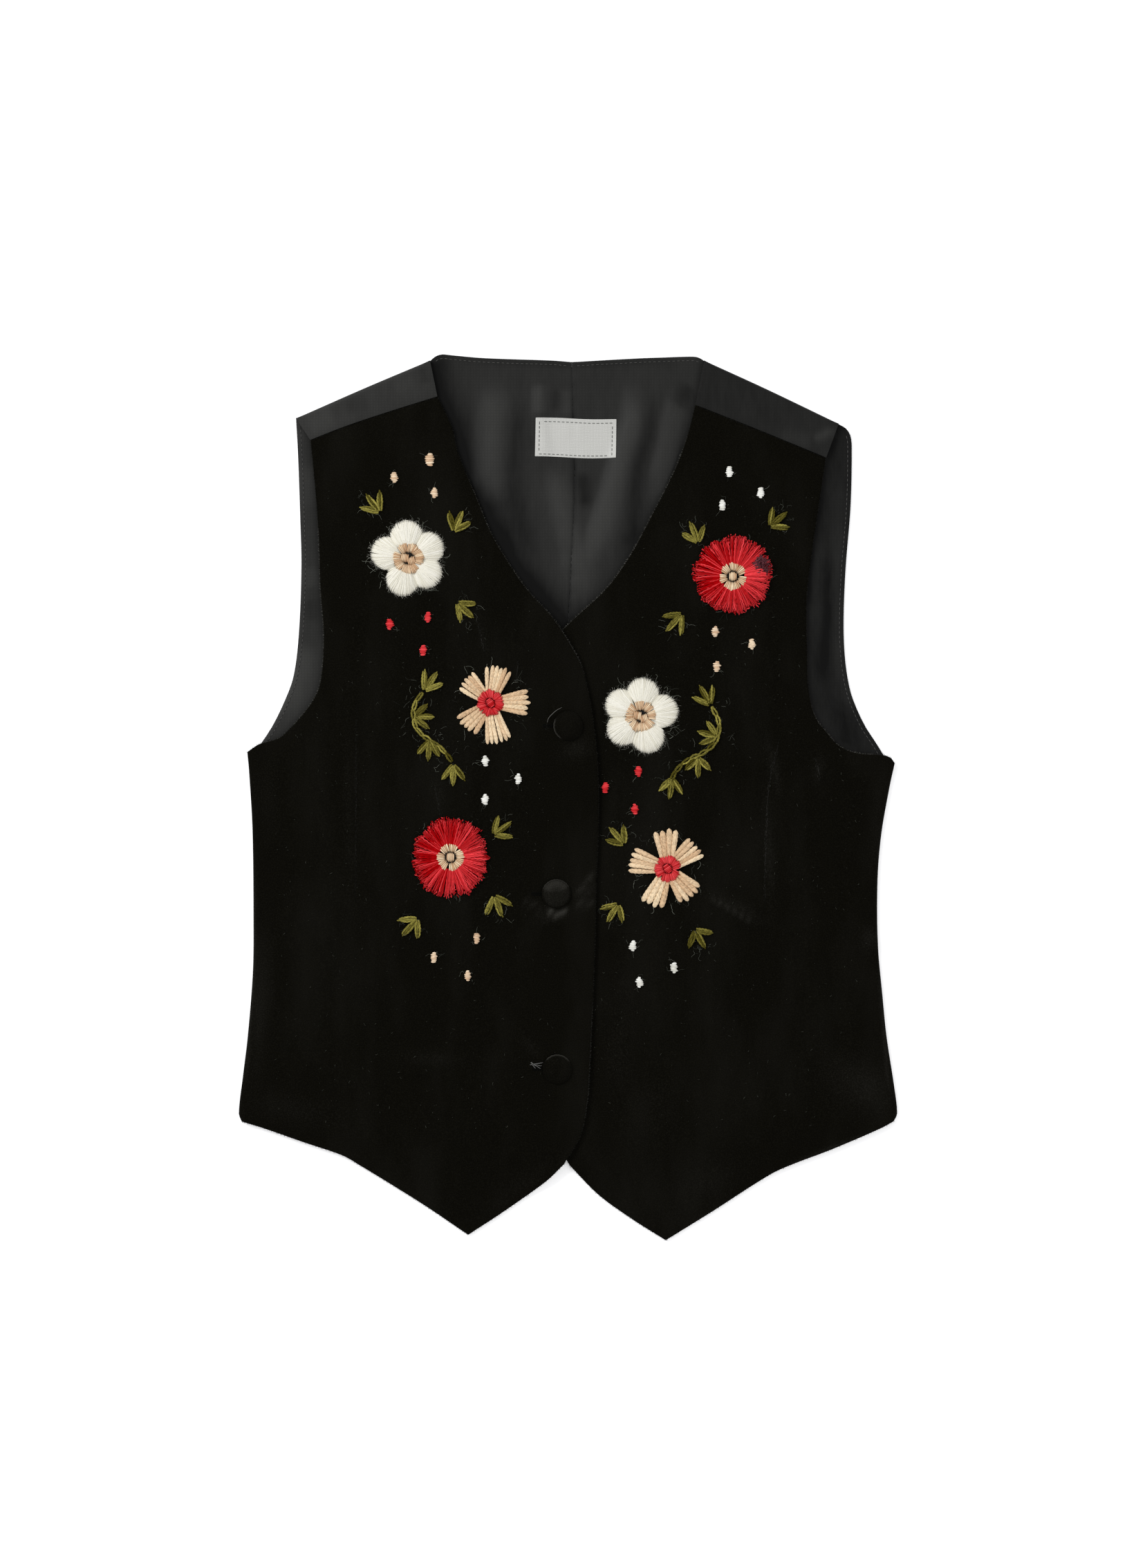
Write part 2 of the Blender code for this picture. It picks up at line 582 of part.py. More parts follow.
LOBE_SPOKES = [(-36, 0.74, 0.6), (-23, 0.92, 0.9), (-9, 1.0, 1.0), (9, 1.0, 1.0), (23, 0.92, 0.9)]
WHITE_REACH = 18.3
WHITE_PAD = 3.0
WHITE_MIDDLE = 1.2
WHITE_RINGS = [(0.46, 0.4), (0.74, 1.0), (1.0, 0.25)]
HEART_REACH = {"white": 7.4, "tan": 6.2, "fringe": 6.9}
HEART_PAD = 1.4


def white_flower(number, surface, x, y, turn, collection):
    """Five padded satin stitch lobes that sink to a flat middle under the heart."""
    spokes = [(turn + 72 * lobe + angle, WHITE_REACH * reach, full)
              for lobe in range(5) for angle, reach, full in LOBE_SPOKES]
    inner = [(turn + 72 * lobe + angle, WHITE_REACH * max(reach, 0.9), 1.0)
             for lobe in range(5) for angle, reach, _ in LOBE_SPOKES]
    mesh, shares = padded_mesh(f"white_flower_{number}", surface, (x, y), spokes, WHITE_RINGS, GAP)
    for k, (angle, reach, _) in enumerate(inner):
        radius = reach * WHITE_RINGS[0][0]
        place = (x + radius * math.cos(math.radians(angle)), y + radius * math.sin(math.radians(angle)))
        mesh.vertices[1 + k].co = Vector((*place, surface.height(*place) + GAP)) * MM
        shares[1 + k] = WHITE_MIDDLE / WHITE_PAD
    made = add_object(mesh.name, mesh, "white", collection)
    thicken(made, shares, WHITE_PAD, 1.0)
    spokes = [(30 * k, HEART_REACH["white"] * (1.0 if k % 2 else 0.86), 1.0) for k in range(12)]
    padded(f"heart_white_{number}", surface, (x, y), spokes, [(0.6, 1.0), (1.0, 0.3)], HEART_PAD, "tan", collection,
           lift=GAP + WHITE_MIDDLE + GAP)
    return made


PETAL_SPOKES = [(-21, 0.31, 0.7), (-17, 0.92, 0.8), (-6, 1.0, 1.0), (6, 0.98, 1.0), (17, 0.92, 0.8), (21, 0.31, 0.7)]
TAN_REACH = 18.9
TAN_PAD = 1.6
TAN_RINGS = [(0.37, 0.55), (0.62, 1.0), (1.0, 0.35)]


def tan_flower(number, surface, x, y, petals, collection):
    """Five petals of long stitches, worked from the heart outwards, with a flat middle under the heart."""
    spokes = []
    for petal in sorted(angle % 360 for angle in petals):
        spokes += [(petal + angle, TAN_REACH * reach, full) for angle, reach, full in PETAL_SPOKES]
    made = padded(f"tan_flower_{number}", surface, (x, y), spokes, TAN_RINGS, TAN_PAD, "tan", collection)
    spokes = [(30 * k, HEART_REACH["tan"] * (1.0 if k % 2 else 0.93), 1.0) for k in range(12)]
    padded(f"heart_tan_{number}", surface, (x, y), spokes, [(0.6, 1.0), (1.0, 0.3)], HEART_PAD, "red", collection,
           lift=GAP + TAN_PAD * 0.55 + GAP)
    return made


DRUM_RADIUS = 9.0
DRUM_HEIGHT = 2.6
DRUM_SIDES = 60
LOCK_TIPS = {"low": (18.9, 0.45), "high": (17.6, 1.7)}
LOCK_WIDTH = 2.4
LOCK_THICKNESS = 0.8


def fringe_flower(number, surface, x, y, collection):
    """Red wool tufts in two tiers round a backing drum, each one drawn out from a face of the drum."""
    draw = random.Random(40 + number)
    name = f"fringe_flower_{number}"
    mesh = bpy.data.meshes.new(name)
    bm = bmesh.new()
    bmesh.ops.create_cone(bm, cap_ends=True, segments=DRUM_SIDES, radius1=DRUM_RADIUS, radius2=DRUM_RADIUS - 0.8,
                          depth=DRUM_HEIGHT)
    bmesh.ops.translate(bm, vec=(0.0, 0.0, DRUM_HEIGHT / 2), verts=bm.verts)
    bmesh.ops.bisect_plane(bm, geom=bm.verts[:] + bm.edges[:] + bm.faces[:], plane_co=(0.0, 0.0, DRUM_HEIGHT / 2),
                           plane_no=(0.0, 0.0, 1.0))
    for tier, odd in (("low", 0), ("high", 1)):
        roots = []
        for face in bm.faces:
            middle = face.calc_center_median()
            turn = math.degrees(math.atan2(middle.y, middle.x)) % 360 * DRUM_SIDES / 360
            is_side = len(face.verts) == 4 and middle.xy.length > DRUM_RADIUS - 1.0 and abs(face.normal.z) < 0.7
            if is_side and (middle.z < DRUM_HEIGHT / 2) == (tier == "low") and round(turn - 0.5) % 2 == odd:
                roots.append(face)
        reach, height = LOCK_TIPS[tier]
        for tip in bmesh.ops.extrude_discrete_faces(bm, faces=roots)["faces"]:
            middle = tip.calc_center_median()
            out = Vector((middle.x, middle.y, 0.0)).normalized()
            across = Vector((-out.y, out.x, 0.0))
            length = reach * draw.uniform(0.93, 1.03)
            for corner in tip.verts:
                aside = math.copysign(LOCK_WIDTH / 2, (corner.co - middle).dot(across))
                rise = math.copysign(LOCK_THICKNESS / 2, corner.co.z - middle.z)
                corner.co = out * length + across * aside + Vector((0.0, 0.0, height + rise))
    for corner in bm.verts:
        place = (x + corner.co.x, y + corner.co.y)
        corner.co = Vector((*place, corner.co.z + surface.height(*place) + GAP)) * MM
    bm.to_mesh(mesh)
    bm.free()
    made = add_object(name, mesh, "red", collection)
    spokes = [(180 / 7 * k, HEART_REACH["fringe"] * (1.0 if k % 2 else 0.88), 1.0) for k in range(14)]
    padded(f"heart_fringe_{number}", surface, (x, y), spokes, [(0.45, 0.5), (0.7, 1.0), (1.0, 0.3)],
           HEART_PAD, "tan", collection, lift=GAP + DRUM_HEIGHT + GAP)
    return made


LEAF_HALF_ANGLE = 20.0
LEAF_PARTING = 2.0
FOOT_REACH = 1.4
LEAF_SPOKES = [(-1.0, 0.55, 0.8), (-0.45, 0.88, 1.0), (0.0, 1.0, 0.8), (0.45, 0.88, 1.0), (1.0, 0.55, 0.8)]
LEAF_RINGS = [(1.0, 0.6)]
LEAF_PAD = 1.4
SIDE_LEAF_SHARE = 0.92
MIDDLE_LEAF_SHARE = 1.06


def sprig_spokes(heading, spread, length):
    """Three leaves from one foot, with short spokes that close the foot behind them."""
    spokes = []
    narrow = min(1.0, (spread / 2 - LEAF_PARTING) / LEAF_HALF_ANGLE)
    for side in (-1, 0, 1):
        leaf = length * (SIDE_LEAF_SHARE if side else MIDDLE_LEAF_SHARE)
        spokes += [(heading + side * spread + share * LEAF_HALF_ANGLE * narrow, leaf * reach, full)
                   for share, reach, full in LEAF_SPOKES]
    behind = 360 - 2 * (spread + LEAF_HALF_ANGLE)
    spokes += [(heading + spread + LEAF_HALF_ANGLE + behind * share, FOOT_REACH, 0.5) for share in (0.2, 0.5, 0.8)]
    return spokes


def sprig(name, surface, x, y, heading, spread, length, collection, lift=GAP):
    return padded(name, surface, (x, y), sprig_spokes(heading, spread, length), LEAF_RINGS, LEAF_PAD, "green",
                  collection, lift=lift)


STEM_WIDTH = 1.8
STEM_PAD = 1.0


def garland(number, surface, table, collection, cutters):
    """A stem stitched line with leaf clusters worked over it, joined into one piece."""
    name = f"garland_{number}"
    line = Curve(table["stem"])
    steps = 9
    left, middle, right = [], [], []
    for k in range(steps + 1):
        x, y = line.at(k / steps)
        ahead = line.at(min(k / steps + 0.02, 1.0)) - line.at(max(k / steps - 0.02, 0.0))
        across = np.array([-ahead[1], ahead[0]]) / np.linalg.norm(ahead) * STEM_WIDTH / 2
        for row, side in ((left, 1.0), (middle, 0.0), (right, -1.0)):
            px, py = x + across[0] * side, y + across[1] * side
            row.append((px, py, surface.height(px, py) + GAP))
    walls = [[0.4] * (steps + 1), [1.0] * (steps + 1), [0.4] * (steps + 1)]
    mesh, shares = sheet_mesh(name, [right, middle, left], False, walls)
    made = add_object(name, mesh, "green", collection)
    thicken(made, shares, STEM_PAD, 1.0)
    for row, (x, y, heading, spread, length) in enumerate(table["clusters"], 1):
        cluster = sprig(f"{name}_cluster_{row}", surface, x, y, heading, spread, length, cutters, lift=2 * GAP)
        cluster.hide_render = True
        cluster.display_type = "WIRE"
        join = made.modifiers.new(cluster.name, "BOOLEAN")
        join.operation = "UNION"
        join.solver = "EXACT"
        join.object = cluster
    return made


DOT_LENGTH = 5.4
DOT_WIDTH = 4.0
DOT_PAD = 1.3


def dot(number, surface, colour, x, y, collection):
    size = 1.2 if number == 1 else 1.0
    spokes = [(angle, size / math.hypot(math.cos(math.radians(angle)) / (DOT_WIDTH / 2),
                                        math.sin(math.radians(angle)) / (DOT_LENGTH / 2)), 1.0)
              for angle in range(0, 360, 45)]
    return padded(f"dot_{number}", surface, (x, y), spokes, [(1.0, 0.45)], DOT_PAD, colour, collection)


def main():
    clear_scene()
    garment = new_collection("waistcoat")
    cutters = new_collection("cutters")
    halves = {name: Surface(back_panel(name, garment)) for name in BACKS}
    fronts = {name: front_panel(name, garment) for name in FRONTS}
    surfaces = {name: Surface(made) for name, made in fronts.items()}
    label(halves["back_right"], halves["back_left"], garment)
    for number, (x, y) in enumerate(BUTTONS, 1):
        button(number, x, y, surfaces["front_right"], surfaces["front_left"], garment)
    cut_buttonholes(fronts["front_right"], cutters)
    for number, (panel, x, y, turn) in enumerate(WHITE_FLOWERS, 1):
        white_flower(number, surfaces[panel], x, y, turn, garment)
    for number, (panel, x, y, petals) in enumerate(TAN_FLOWERS, 1):
        tan_flower(number, surfaces[panel], x, y, petals, garment)
    for number, (panel, x, y) in enumerate(FRINGE_FLOWERS, 1):
        fringe_flower(number, surfaces[panel], x, y, garment)
    for number, (panel, x, y, heading, spread, length) in enumerate(SPRIGS, 1):
        sprig(f"sprig_{number}", surfaces[panel], x, y, heading, spread, length, garment)
    for number, table in enumerate(GARLANDS, 1):
        garland(number, surfaces[table["panel"]], table, garment, cutters)
    for number, (panel, colour, x, y) in enumerate(DOTS, 1):
        dot(number, surfaces[panel], colour, x, y, garment)


main()
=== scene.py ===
"""Child's embroidered velvet waistcoat laid out flat: the looks of every piece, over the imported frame.

The tables are in millimetres, +Y towards the neck, +Z up, measured from the middle of the laid-out garment.
Meshes are in metres. Names say the wearer's side, and the wearer's right is on the left of the picture.
"""

import math
import random

import bmesh
import bpy
import numpy as np
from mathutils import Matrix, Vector
from mathutils.bvhtree import BVHTree


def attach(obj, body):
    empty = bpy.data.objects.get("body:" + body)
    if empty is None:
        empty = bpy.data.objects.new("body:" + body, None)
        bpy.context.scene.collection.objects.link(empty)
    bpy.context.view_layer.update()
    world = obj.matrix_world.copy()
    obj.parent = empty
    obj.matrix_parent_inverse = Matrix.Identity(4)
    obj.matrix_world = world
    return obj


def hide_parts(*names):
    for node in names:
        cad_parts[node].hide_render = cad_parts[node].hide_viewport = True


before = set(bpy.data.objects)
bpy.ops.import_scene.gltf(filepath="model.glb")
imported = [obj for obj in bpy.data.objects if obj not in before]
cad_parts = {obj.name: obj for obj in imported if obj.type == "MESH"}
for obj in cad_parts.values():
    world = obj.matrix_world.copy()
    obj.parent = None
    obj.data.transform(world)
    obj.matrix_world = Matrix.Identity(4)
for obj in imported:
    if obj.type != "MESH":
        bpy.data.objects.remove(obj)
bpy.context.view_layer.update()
MM = 0.001


# The photograph's view: straight down on the garment, from high above the table.
# The picture is 1643 by 2268 pixels, and 3 pixels are 1 mm on the cloth.
PICTURE_TALL = 2268 / 3
PICTURE_MIDDLE = (0.0, 6.4)
CAMERA_HEIGHT = 2600.0
SENSOR = 36.0
CLOTH_HEIGHT = 4.0

camera_data = bpy.data.cameras.new("photo_camera")
camera_data.sensor_width = SENSOR
camera_data.lens = SENSOR * (CAMERA_HEIGHT - CLOTH_HEIGHT) / PICTURE_TALL
camera_data.clip_end = 20.0
camera = bpy.data.objects.new("photo_camera", camera_data)
camera.location = Vector((*PICTURE_MIDDLE, CAMERA_HEIGHT)) * MM
bpy.context.scene.collection.objects.link(camera)
bpy.context.scene.camera = camera


# A photographer's light table of white acrylic, lit from inside so that it drowns the shadows on it, and soft
# studio light: a large lamp at the upper left, a weaker one at the right, and a pale room all round.
TABLE_GLOW = 0.3
ROOM_LIGHT = 0.62
FLOOR_REACH = 5.0
FLOOR_DROP = 0.0003
# Lamps: name, place, size and watts, in metres
LAMPS = [
    ("key_lamp", (-1.15, 0.95, 1.25), 0.9, 21.0),
    ("fill_lamp", (1.2, -0.9, 1.5), 1.4, 11.0),
]


def linear(hex_colour):
    """Scene-linear RGBA of an sRGB hex colour."""
    shares = [int(hex_colour[k:k + 2], 16) / 255 for k in (1, 3, 5)]
    return (*[c / 12.92 if c <= 0.04045 else ((c + 0.055) / 1.055) ** 2.4 for c in shares], 1.0)


def add_node(tree, kind, settings=None, inputs=None):
    """Adds one node with its settings; an input is a value or another node's socket."""
    made = tree.nodes.new(kind)
    for key, value in (settings or {}).items():
        setattr(made, key, value)
    for key, value in (inputs or {}).items():
        if isinstance(value, bpy.types.NodeSocket):
            tree.links.new(value, made.inputs[key])
        else:
            made.inputs[key].default_value = value
    return made


def new_material(name, shader_values):
    """A material whose Principled shader has these values, with its tree and shader."""
    made = bpy.data.materials.new(name)
    made.use_nodes = True
    shader = made.node_tree.nodes["Principled BSDF"]
    for key, value in shader_values.items():
        shader.inputs[key].default_value = value
    return made, made.node_tree, shader


# Opal acrylic, cast and sanded: white all through and dull, with its own even glow.
light_table, _, _ = new_material("lit_white_acrylic", {
    "Base Color": linear("#fefefe"), "Roughness": 0.9, "Emission Color": linear("#ffffff"),
    "Emission Strength": TABLE_GLOW})
floor_mesh = bpy.data.meshes.new("table_top")
bm = bmesh.new()
bmesh.ops.create_grid(bm, x_segments=1, y_segments=1, size=FLOOR_REACH)
bm.to_mesh(floor_mesh)
bm.free()
floor = bpy.data.objects.new("table_top", floor_mesh)
floor.location.z = -FLOOR_DROP
floor_mesh.materials.append(light_table)
bpy.context.scene.collection.objects.link(floor)

for name, place, size, watts in LAMPS:
    lamp_data = bpy.data.lights.new(name, "AREA")
    lamp_data.shape = "DISK"
    lamp_data.size = size
    lamp_data.energy = watts
    lamp = bpy.data.objects.new(name, lamp_data)
    lamp.location = place
    lamp.rotation_euler = (-Vector(place)).to_track_quat("-Z", "Y").to_euler()
    bpy.context.scene.collection.objects.link(lamp)

room = bpy.data.worlds.new("pale_room")
room.use_nodes = True
room.node_tree.nodes["Background"].inputs["Color"].default_value = linear("#fbfbfd")
room.node_tree.nodes["Background"].inputs["Strength"].default_value = ROOM_LIGHT
bpy.context.scene.world = room
bpy.context.scene.view_settings.view_transform = "Standard"


# The back: two halves of thin charcoal lining satin, joined by a pressed centre seam. At the shoulders each
# half folds forwards and comes down as a strip that meets the velvet. Neck and armholes are turned in and
# topstitched. It lies slack between the fronts, so long soft folds run down from the neck.
SATIN_WALL = 1.2
SATIN_EDGE_WALL = 0.6
VELVET_WALL = 2.0
# Clear space between cloths that are sewn together
GAP = 0.3
FOLD_HEIGHT = SATIN_WALL + GAP + VELVET_WALL
# How far the back's hidden side seams lie inside the fronts' ones, and the middle of its hem
SIDE_INSET = 3.0
BACK_HEM = (80.0, -158.5)
SIDE_SEAMS = {
    "right": [(-157.6, -156.4), (-158.9, -152.5), (-156.8, -133.9), (-154.6, -115.6), (-152.1, -84.2),
              (-151.8, -58.2), (-152.3, -15.6), (-153.9, 11.8), (-154.7, 21.8)],
    "left": [(157.4, -156.2), (158.9, -152.6), (157.5, -139.9), (153.8, -115.6), (151.8, -95.9),
             (149.6, -71.0), (149.4, -40.9), (151.1, -18.8), (154.7, 2.3), (157.6, 16.4)],
}
SHOULDER_SEAMS = {
    "right": [(-124.2, 172.1), (-107.6, 178.6), (-86.2, 185.8), (-62.9, 193.1)],
    "left": [(124.4, 163.6), (92.3, 176.8), (61.3, 189.1)],
}
BACK_SEAM = [(0.0, -160.0), (0.0, 0.0), (0.0, 80.8), (1.6, 112.8), (2.7, 140.4), (3.3, 162.4), (2.4, 184.4),
             (1.8, 210.1)]
BACKS = {
    "right": {
        "armhole": [(-151.6, 20.5), (-148.5, 25.5), (-143.0, 33.8), (-137.2, 45.5), (-132.5, 58.4),
                    (-129.9, 79.4), (-128.7, 111.4), (-129.2, 132.8), (-130.3, 164.8), (-131.3, 182.8)],
        "fold": [(-131.3, 182.8), (-97.2, 197.8), (-66.6, 210.7)],
        "neck": [(-66.6, 210.7), (-63.6, 213.0), (-60.6, 213.8), (-56.6, 213.4), (-40.6, 212.0),
                 (-7.2, 210.8), (1.8, 210.1)],
    },
    "left": {
        "armhole": [(154.4, 14.5), (153.2, 18.5), (149.4, 25.1), (142.4, 36.2), (136.0, 52.5), (133.1, 76.2),
                    (133.8, 107.2), (136.4, 140.4), (137.0, 168.0), (136.4, 174.4), (134.2, 178.0),
                    (130.6, 180.2)],
        "fold": [(130.6, 180.2), (96.1, 196.8), (65.7, 210.7)],
        "neck": [(65.7, 210.7), (63.6, 212.0), (60.8, 212.7), (46.1, 212.3), (32.8, 211.8), (1.8, 210.1)],
    },
}
# Folds: points, half width, height
SATIN_FOLDS = [
    ([(-33.9, 205.0), (-35.6, 171.1), (-36.9, 152.0), (-27.0, 128.0)], 11.0, 1.9),
    ([(-13.9, 203.0), (-14.2, 184.4), (-10.0, 158.0)], 5.0, 1.1),
    ([(-7.2, 166.0), (-2.2, 137.8), (3.0, 120.0), (6.1, 94.4)], 8.0, 1.1),
    ([(33.4, 206.0), (32.1, 181.1), (26.8, 164.4), (20.0, 140.0), (10.0, 110.0)], 8.5, 2.3),
    ([(54.4, 200.0), (47.8, 166.1), (42.0, 144.0)], 7.0, 1.5),
    ([(119.0, 130.0), (120.0, 88.0)], 4.0, 0.25), ([(131.5, 150.0), (129.4, 98.0), (132.0, 62.0)], 3.0, 0.25),
]
# Painted sheen on the satin's fold ridges and painted shade in its hollows and along its seam: points, half
# width, strength
SATIN_PAINTED_LIGHT = [
    ([(-33.9, 202.0), (-35.6, 171.1), (-37.9, 157.8), (-34.0, 140.0)], 6.5, 0.34),
    ([(-23.9, 196.0), (-25.6, 171.1), (-26.6, 151.1), (-22.2, 131.1), (-15.6, 111.1)], 5.0, -0.22),
    ([(-13.9, 200.0), (-14.2, 184.0)], 3.0, 0.34), ([(-0.8, 198.0), (-0.6, 183.0)], 3.0, 0.2),
    ([(-7.2, 162.0), (-2.2, 137.8), (2.1, 124.4), (5.4, 107.8), (6.1, 92.0)], 6.5, 0.36),
    ([(6.6, 158.0), (8.8, 139.0)], 3.6, -0.26), ([(-5.0, 198.0), (-6.0, 186.0)], 3.0, -0.14),
    ([(33.4, 201.0), (32.1, 181.1), (26.8, 164.4), (22.1, 147.8), (18.8, 136.1), (13.4, 122.8), (7.8, 107.8)],
     5.2, 0.42),
    ([(41.0, 198.0), (37.8, 174.4), (33.1, 161.1), (32.4, 144.4), (31.1, 127.8), (22.8, 111.1)], 4.6, -0.28),
    ([(56.4, 196.0), (47.8, 166.1), (44.4, 151.1), (39.4, 137.8)], 4.4, 0.17),
    ([(60.0, 199.0), (52.0, 188.0)], 4.5, -0.22),
    ([(2.5, 208.0), (2.8, 140.0), (0.0, 84.0)], 1.1, -0.3),
    ([(-60.0, 212.0), (0.0, 209.0), (60.0, 211.5)], 2.0, -0.16),
    ([(-125.0, 112.0), (-125.0, 100.0)], 5.0, 0.2),
    ([(-126.0, 76.0), (-132.0, 52.0), (-139.0, 38.0)], 7.0, 0.32),
    ([(-124.6, 162.0), (-125.0, 138.0)], 5.0, 0.16), ([(-125.0, 96.0), (-123.0, 84.0)], 4.0, -0.14),
    ([(126.4, 118.0), (125.1, 81.4), (122.6, 58.4), (118.8, 51.1)], 3.2, -0.16),
    ([(132.4, 46.0), (135.8, 23.4)], 4.5, -0.16), ([(121.3, 126.0), (119.4, 82.0)], 3.0, 0.08),
    ([(132.0, 156.0), (129.6, 97.8), (131.1, 64.4), (139.4, 31.1)], 3.2, 0.14),
    ([(118.0, 172.0), (129.0, 178.0)], 2.6, 0.3), ([(101.0, 174.0), (118.0, 171.0)], 5.0, 0.14),
    ([(-126.0, 178.0), (-112.0, 184.0)], 6.0, 0.2), ([(-84.0, 197.0), (-74.0, 202.0)], 5.0, 0.12),
    ([(-108.0, 187.0), (-96.0, 191.0)], 4.5, -0.12), ([(-70.0, 208.0), (-68.0, 199.0)], 3.0, -0.12),
]
# Painted sheen across the satin from the wearer's right to their left, at the back and on the shoulder strips:
# lighter on the wearer's right, which lies towards the key lamp
BACK_PAINTED_LIGHT = [(-140.0, 0.5), (-110.0, 0.4), (60.0, 0.4), (112.0, 0.13), (140.0, 0.13)]
STRIP_PAINTED_LIGHT = [(-130.0, 0.62), (-62.0, 0.52), (62.0, 0.2), (130.0, 0.25)]
# Painted shadow that the velvet's neck and armhole edges and the shoulder strips cast on the satin: points,
# reach, strength
NECK_PAINTED_SHADOW = [
    ([(-67.0, 212.0), (-62.9, 193.1), (-55.9, 178.4), (-53.2, 166.8), (-43.6, 143.4), (-28.9, 113.8),
      (-7.6, 87.1), (0.9, 74.4)], 8.5, 0.5),
    ([(61.3, 189.1), (51.4, 158.1), (29.3, 115.9), (1.6, 85.1), (-7.2, 75.8)], 4.0, 0.12),
    ([(115.1, 96.1), (117.7, 118.2), (121.8, 146.1), (124.4, 163.6), (130.6, 180.2)], 3.5, 0.1),
    ([(-118.0, 79.6), (-120.7, 132.8), (-124.2, 172.1)], 3.0, 0.12),
]
# Spacing of the cloth's points: most of it, the neck edge, and the lower back under the fronts
CLOTH_GRID = 2.0
NECK_GRID = 1.4
HIDDEN_GRID = 5.0
HIDDEN_SHARE = 0.6
FOLD_STEPS = 10
STRIP_STEPS = 12
# The pressed centre seam: half width and depth of its groove, height and reach of its pucker
SEAM_GROOVE = (1.6, 0.45)
SEAM_PUCKER = (0.5, 5.0)
# The shoulder fold's roll starts this far above the back's flat part, and fades at its ends over this length
ROLL_FADE = 9.0
ROLL_NEARS = 32.0
STRIP_EASE = 0.25


def smoothstep(value):
    """A soft step from 0 to 1 as the value goes from 0 to 1."""
    share = np.clip(value, 0.0, 1.0)
    return share * share * (3.0 - 2.0 * share)


def length_along(line):
    """Distance from a line's first point to each of its points."""
    return np.concatenate([[0.0], np.cumsum(np.linalg.norm(np.diff(line, axis=0), axis=1))])


class Curve:
    """A smooth curve through a table's points, read by its share of length."""

    def __init__(self, points):
        p = np.array(points, float)
        ends = np.vstack([2 * p[0] - p[1], p, 2 * p[-1] - p[-2]])
        t = np.linspace(0.0, 1.0, 12, endpoint=False)[:, None]
        runs = []
        for a, b, c, d in zip(ends, ends[1:], ends[2:], ends[3:]):
            chord = np.linalg.norm(c - b)
            start = chord * (c - a) / max(np.linalg.norm(b - a) + chord, 1e-6)
            end = chord * (d - b) / max(np.linalg.norm(d - c) + chord, 1e-6)
            runs.append((2 * t**3 - 3 * t**2 + 1) * b + (t**3 - 2 * t**2 + t) * start
                        + (3 * t**2 - 2 * t**3) * c + (t**3 - t**2) * end)
        self.points = np.vstack(runs + [p[-1:]])
        self.steps = length_along(self.points)
        self.length = self.steps[-1]

    def at(self, share):
        where = np.clip(share, 0.0, 1.0) * self.length
        return np.stack([np.interp(where, self.steps, self.points[:, k]) for k in (0, 1)], axis=-1)


class Joined:
    """Two curves end to end, read as one; their joint is a corner at the share called corner."""

    def __init__(self, first, second):
        self.first = first
        self.second = second
        self.length = first.length + second.length
        self.corner = first.length / self.length

    def at(self, share):
        share = np.asarray(share, float)
        low = self.first.at(share / self.corner)
        high = self.second.at((share - self.corner) / (1.0 - self.corner))
        return np.where((share <= self.corner)[..., None], low, high)


def patch(outer, inner, bottom, top, u, v):
    """Points of the patch between four edges: u runs from the outer to the inner edge, v from the hem up."""
    u1, v1 = u[..., None], v[..., None]
    ruled = (1 - u1) * outer.at(v) + u1 * inner.at(v) + (1 - v1) * bottom.at(u) + v1 * top.at(u)
    corners = ((1 - u1) * (1 - v1) * outer.at(0) + u1 * (1 - v1) * inner.at(0)
               + (1 - u1) * v1 * outer.at(1) + u1 * v1 * inner.at(1))
    return ruled - corners


def nearest_on(places, points):
    """Distance of each place to a line of points, and its share of the way in from the line's nearer end."""
    line = np.array(points, float)
    steps = length_along(line)
    near = np.full(places.shape[:-1], 1e9)
    along = np.zeros(places.shape[:-1])
    for a, b, start in zip(line, line[1:], steps):
        run = b - a
        share = np.clip((places - a) @ run / max(run @ run, 1e-9), 0.0, 1.0)
        here = np.linalg.norm(places - a - share[..., None] * run, axis=-1)
        along = np.where(here < near, start + share * np.linalg.norm(run), along)
        near = np.minimum(near, here)
    return near, np.minimum(along, steps[-1] - along) / steps[-1]


def folds_at(places, folds):
    """Height that the soft folds give at each place, which tapers off at their ends."""
    up = np.zeros(places.shape[:-1])
    down = np.zeros(places.shape[:-1])
    for points, half_width, height in folds:
        near, inward = nearest_on(places, points)
        reach = near / half_width
        rise = height * np.where(reach < 1.0, (1.0 - reach**2) ** 2, 0.0) * smoothstep(inward / 0.3 + 0.12)
        up = np.maximum(up, rise)
        down = np.minimum(down, rise)
    return up + down


def tone_at(places, lines):
    """Sum of the soft light or dark bands at each place."""
    total = np.zeros(places.shape[:-1])
    for points, half_width, strength in lines:
        near, inward = nearest_on(places, points)
        total = total + strength * np.exp(-(near / half_width) ** 2) * smoothstep(inward / 0.25 + 0.1)
    return total


def distance_to(places, line):
    """Distance of each place to a line of points."""
    return nearest_on(places, line)[0]


def shares_between(start, end, length, step=CLOTH_GRID):
    """Even shares from start to end, a cloth grid step apart, without the first."""
    return list(np.linspace(start, end, max(2, round((end - start) * length / step)) + 1)[1:])


def grid_mesh(name, rows, mirrored):
    """Open surface from rows of points in millimetres; a later row may be shorter."""
    firsts = np.concatenate([[0], np.cumsum([len(row) for row in rows])])
    faces = []
    for k, (low, high) in enumerate(zip(rows, rows[1:])):
        for j in range(min(len(low), len(high)) - 1):
            a, b = int(firsts[k]) + j, int(firsts[k + 1]) + j
            faces.append((a, b, b + 1, a + 1) if mirrored else (a, a + 1, b + 1, b))
    mesh = bpy.data.meshes.new(name)
    mesh.from_pydata([tuple(p) for p in np.vstack(rows) * MM], [], faces)
    return mesh


def keep_values(mesh, label, values):
    """Keeps a number at each point of a mesh, for its material to read."""
    mesh.attributes.new(label, "FLOAT", "POINT").data.foreach_set("value", values.astype(np.float32).ravel())


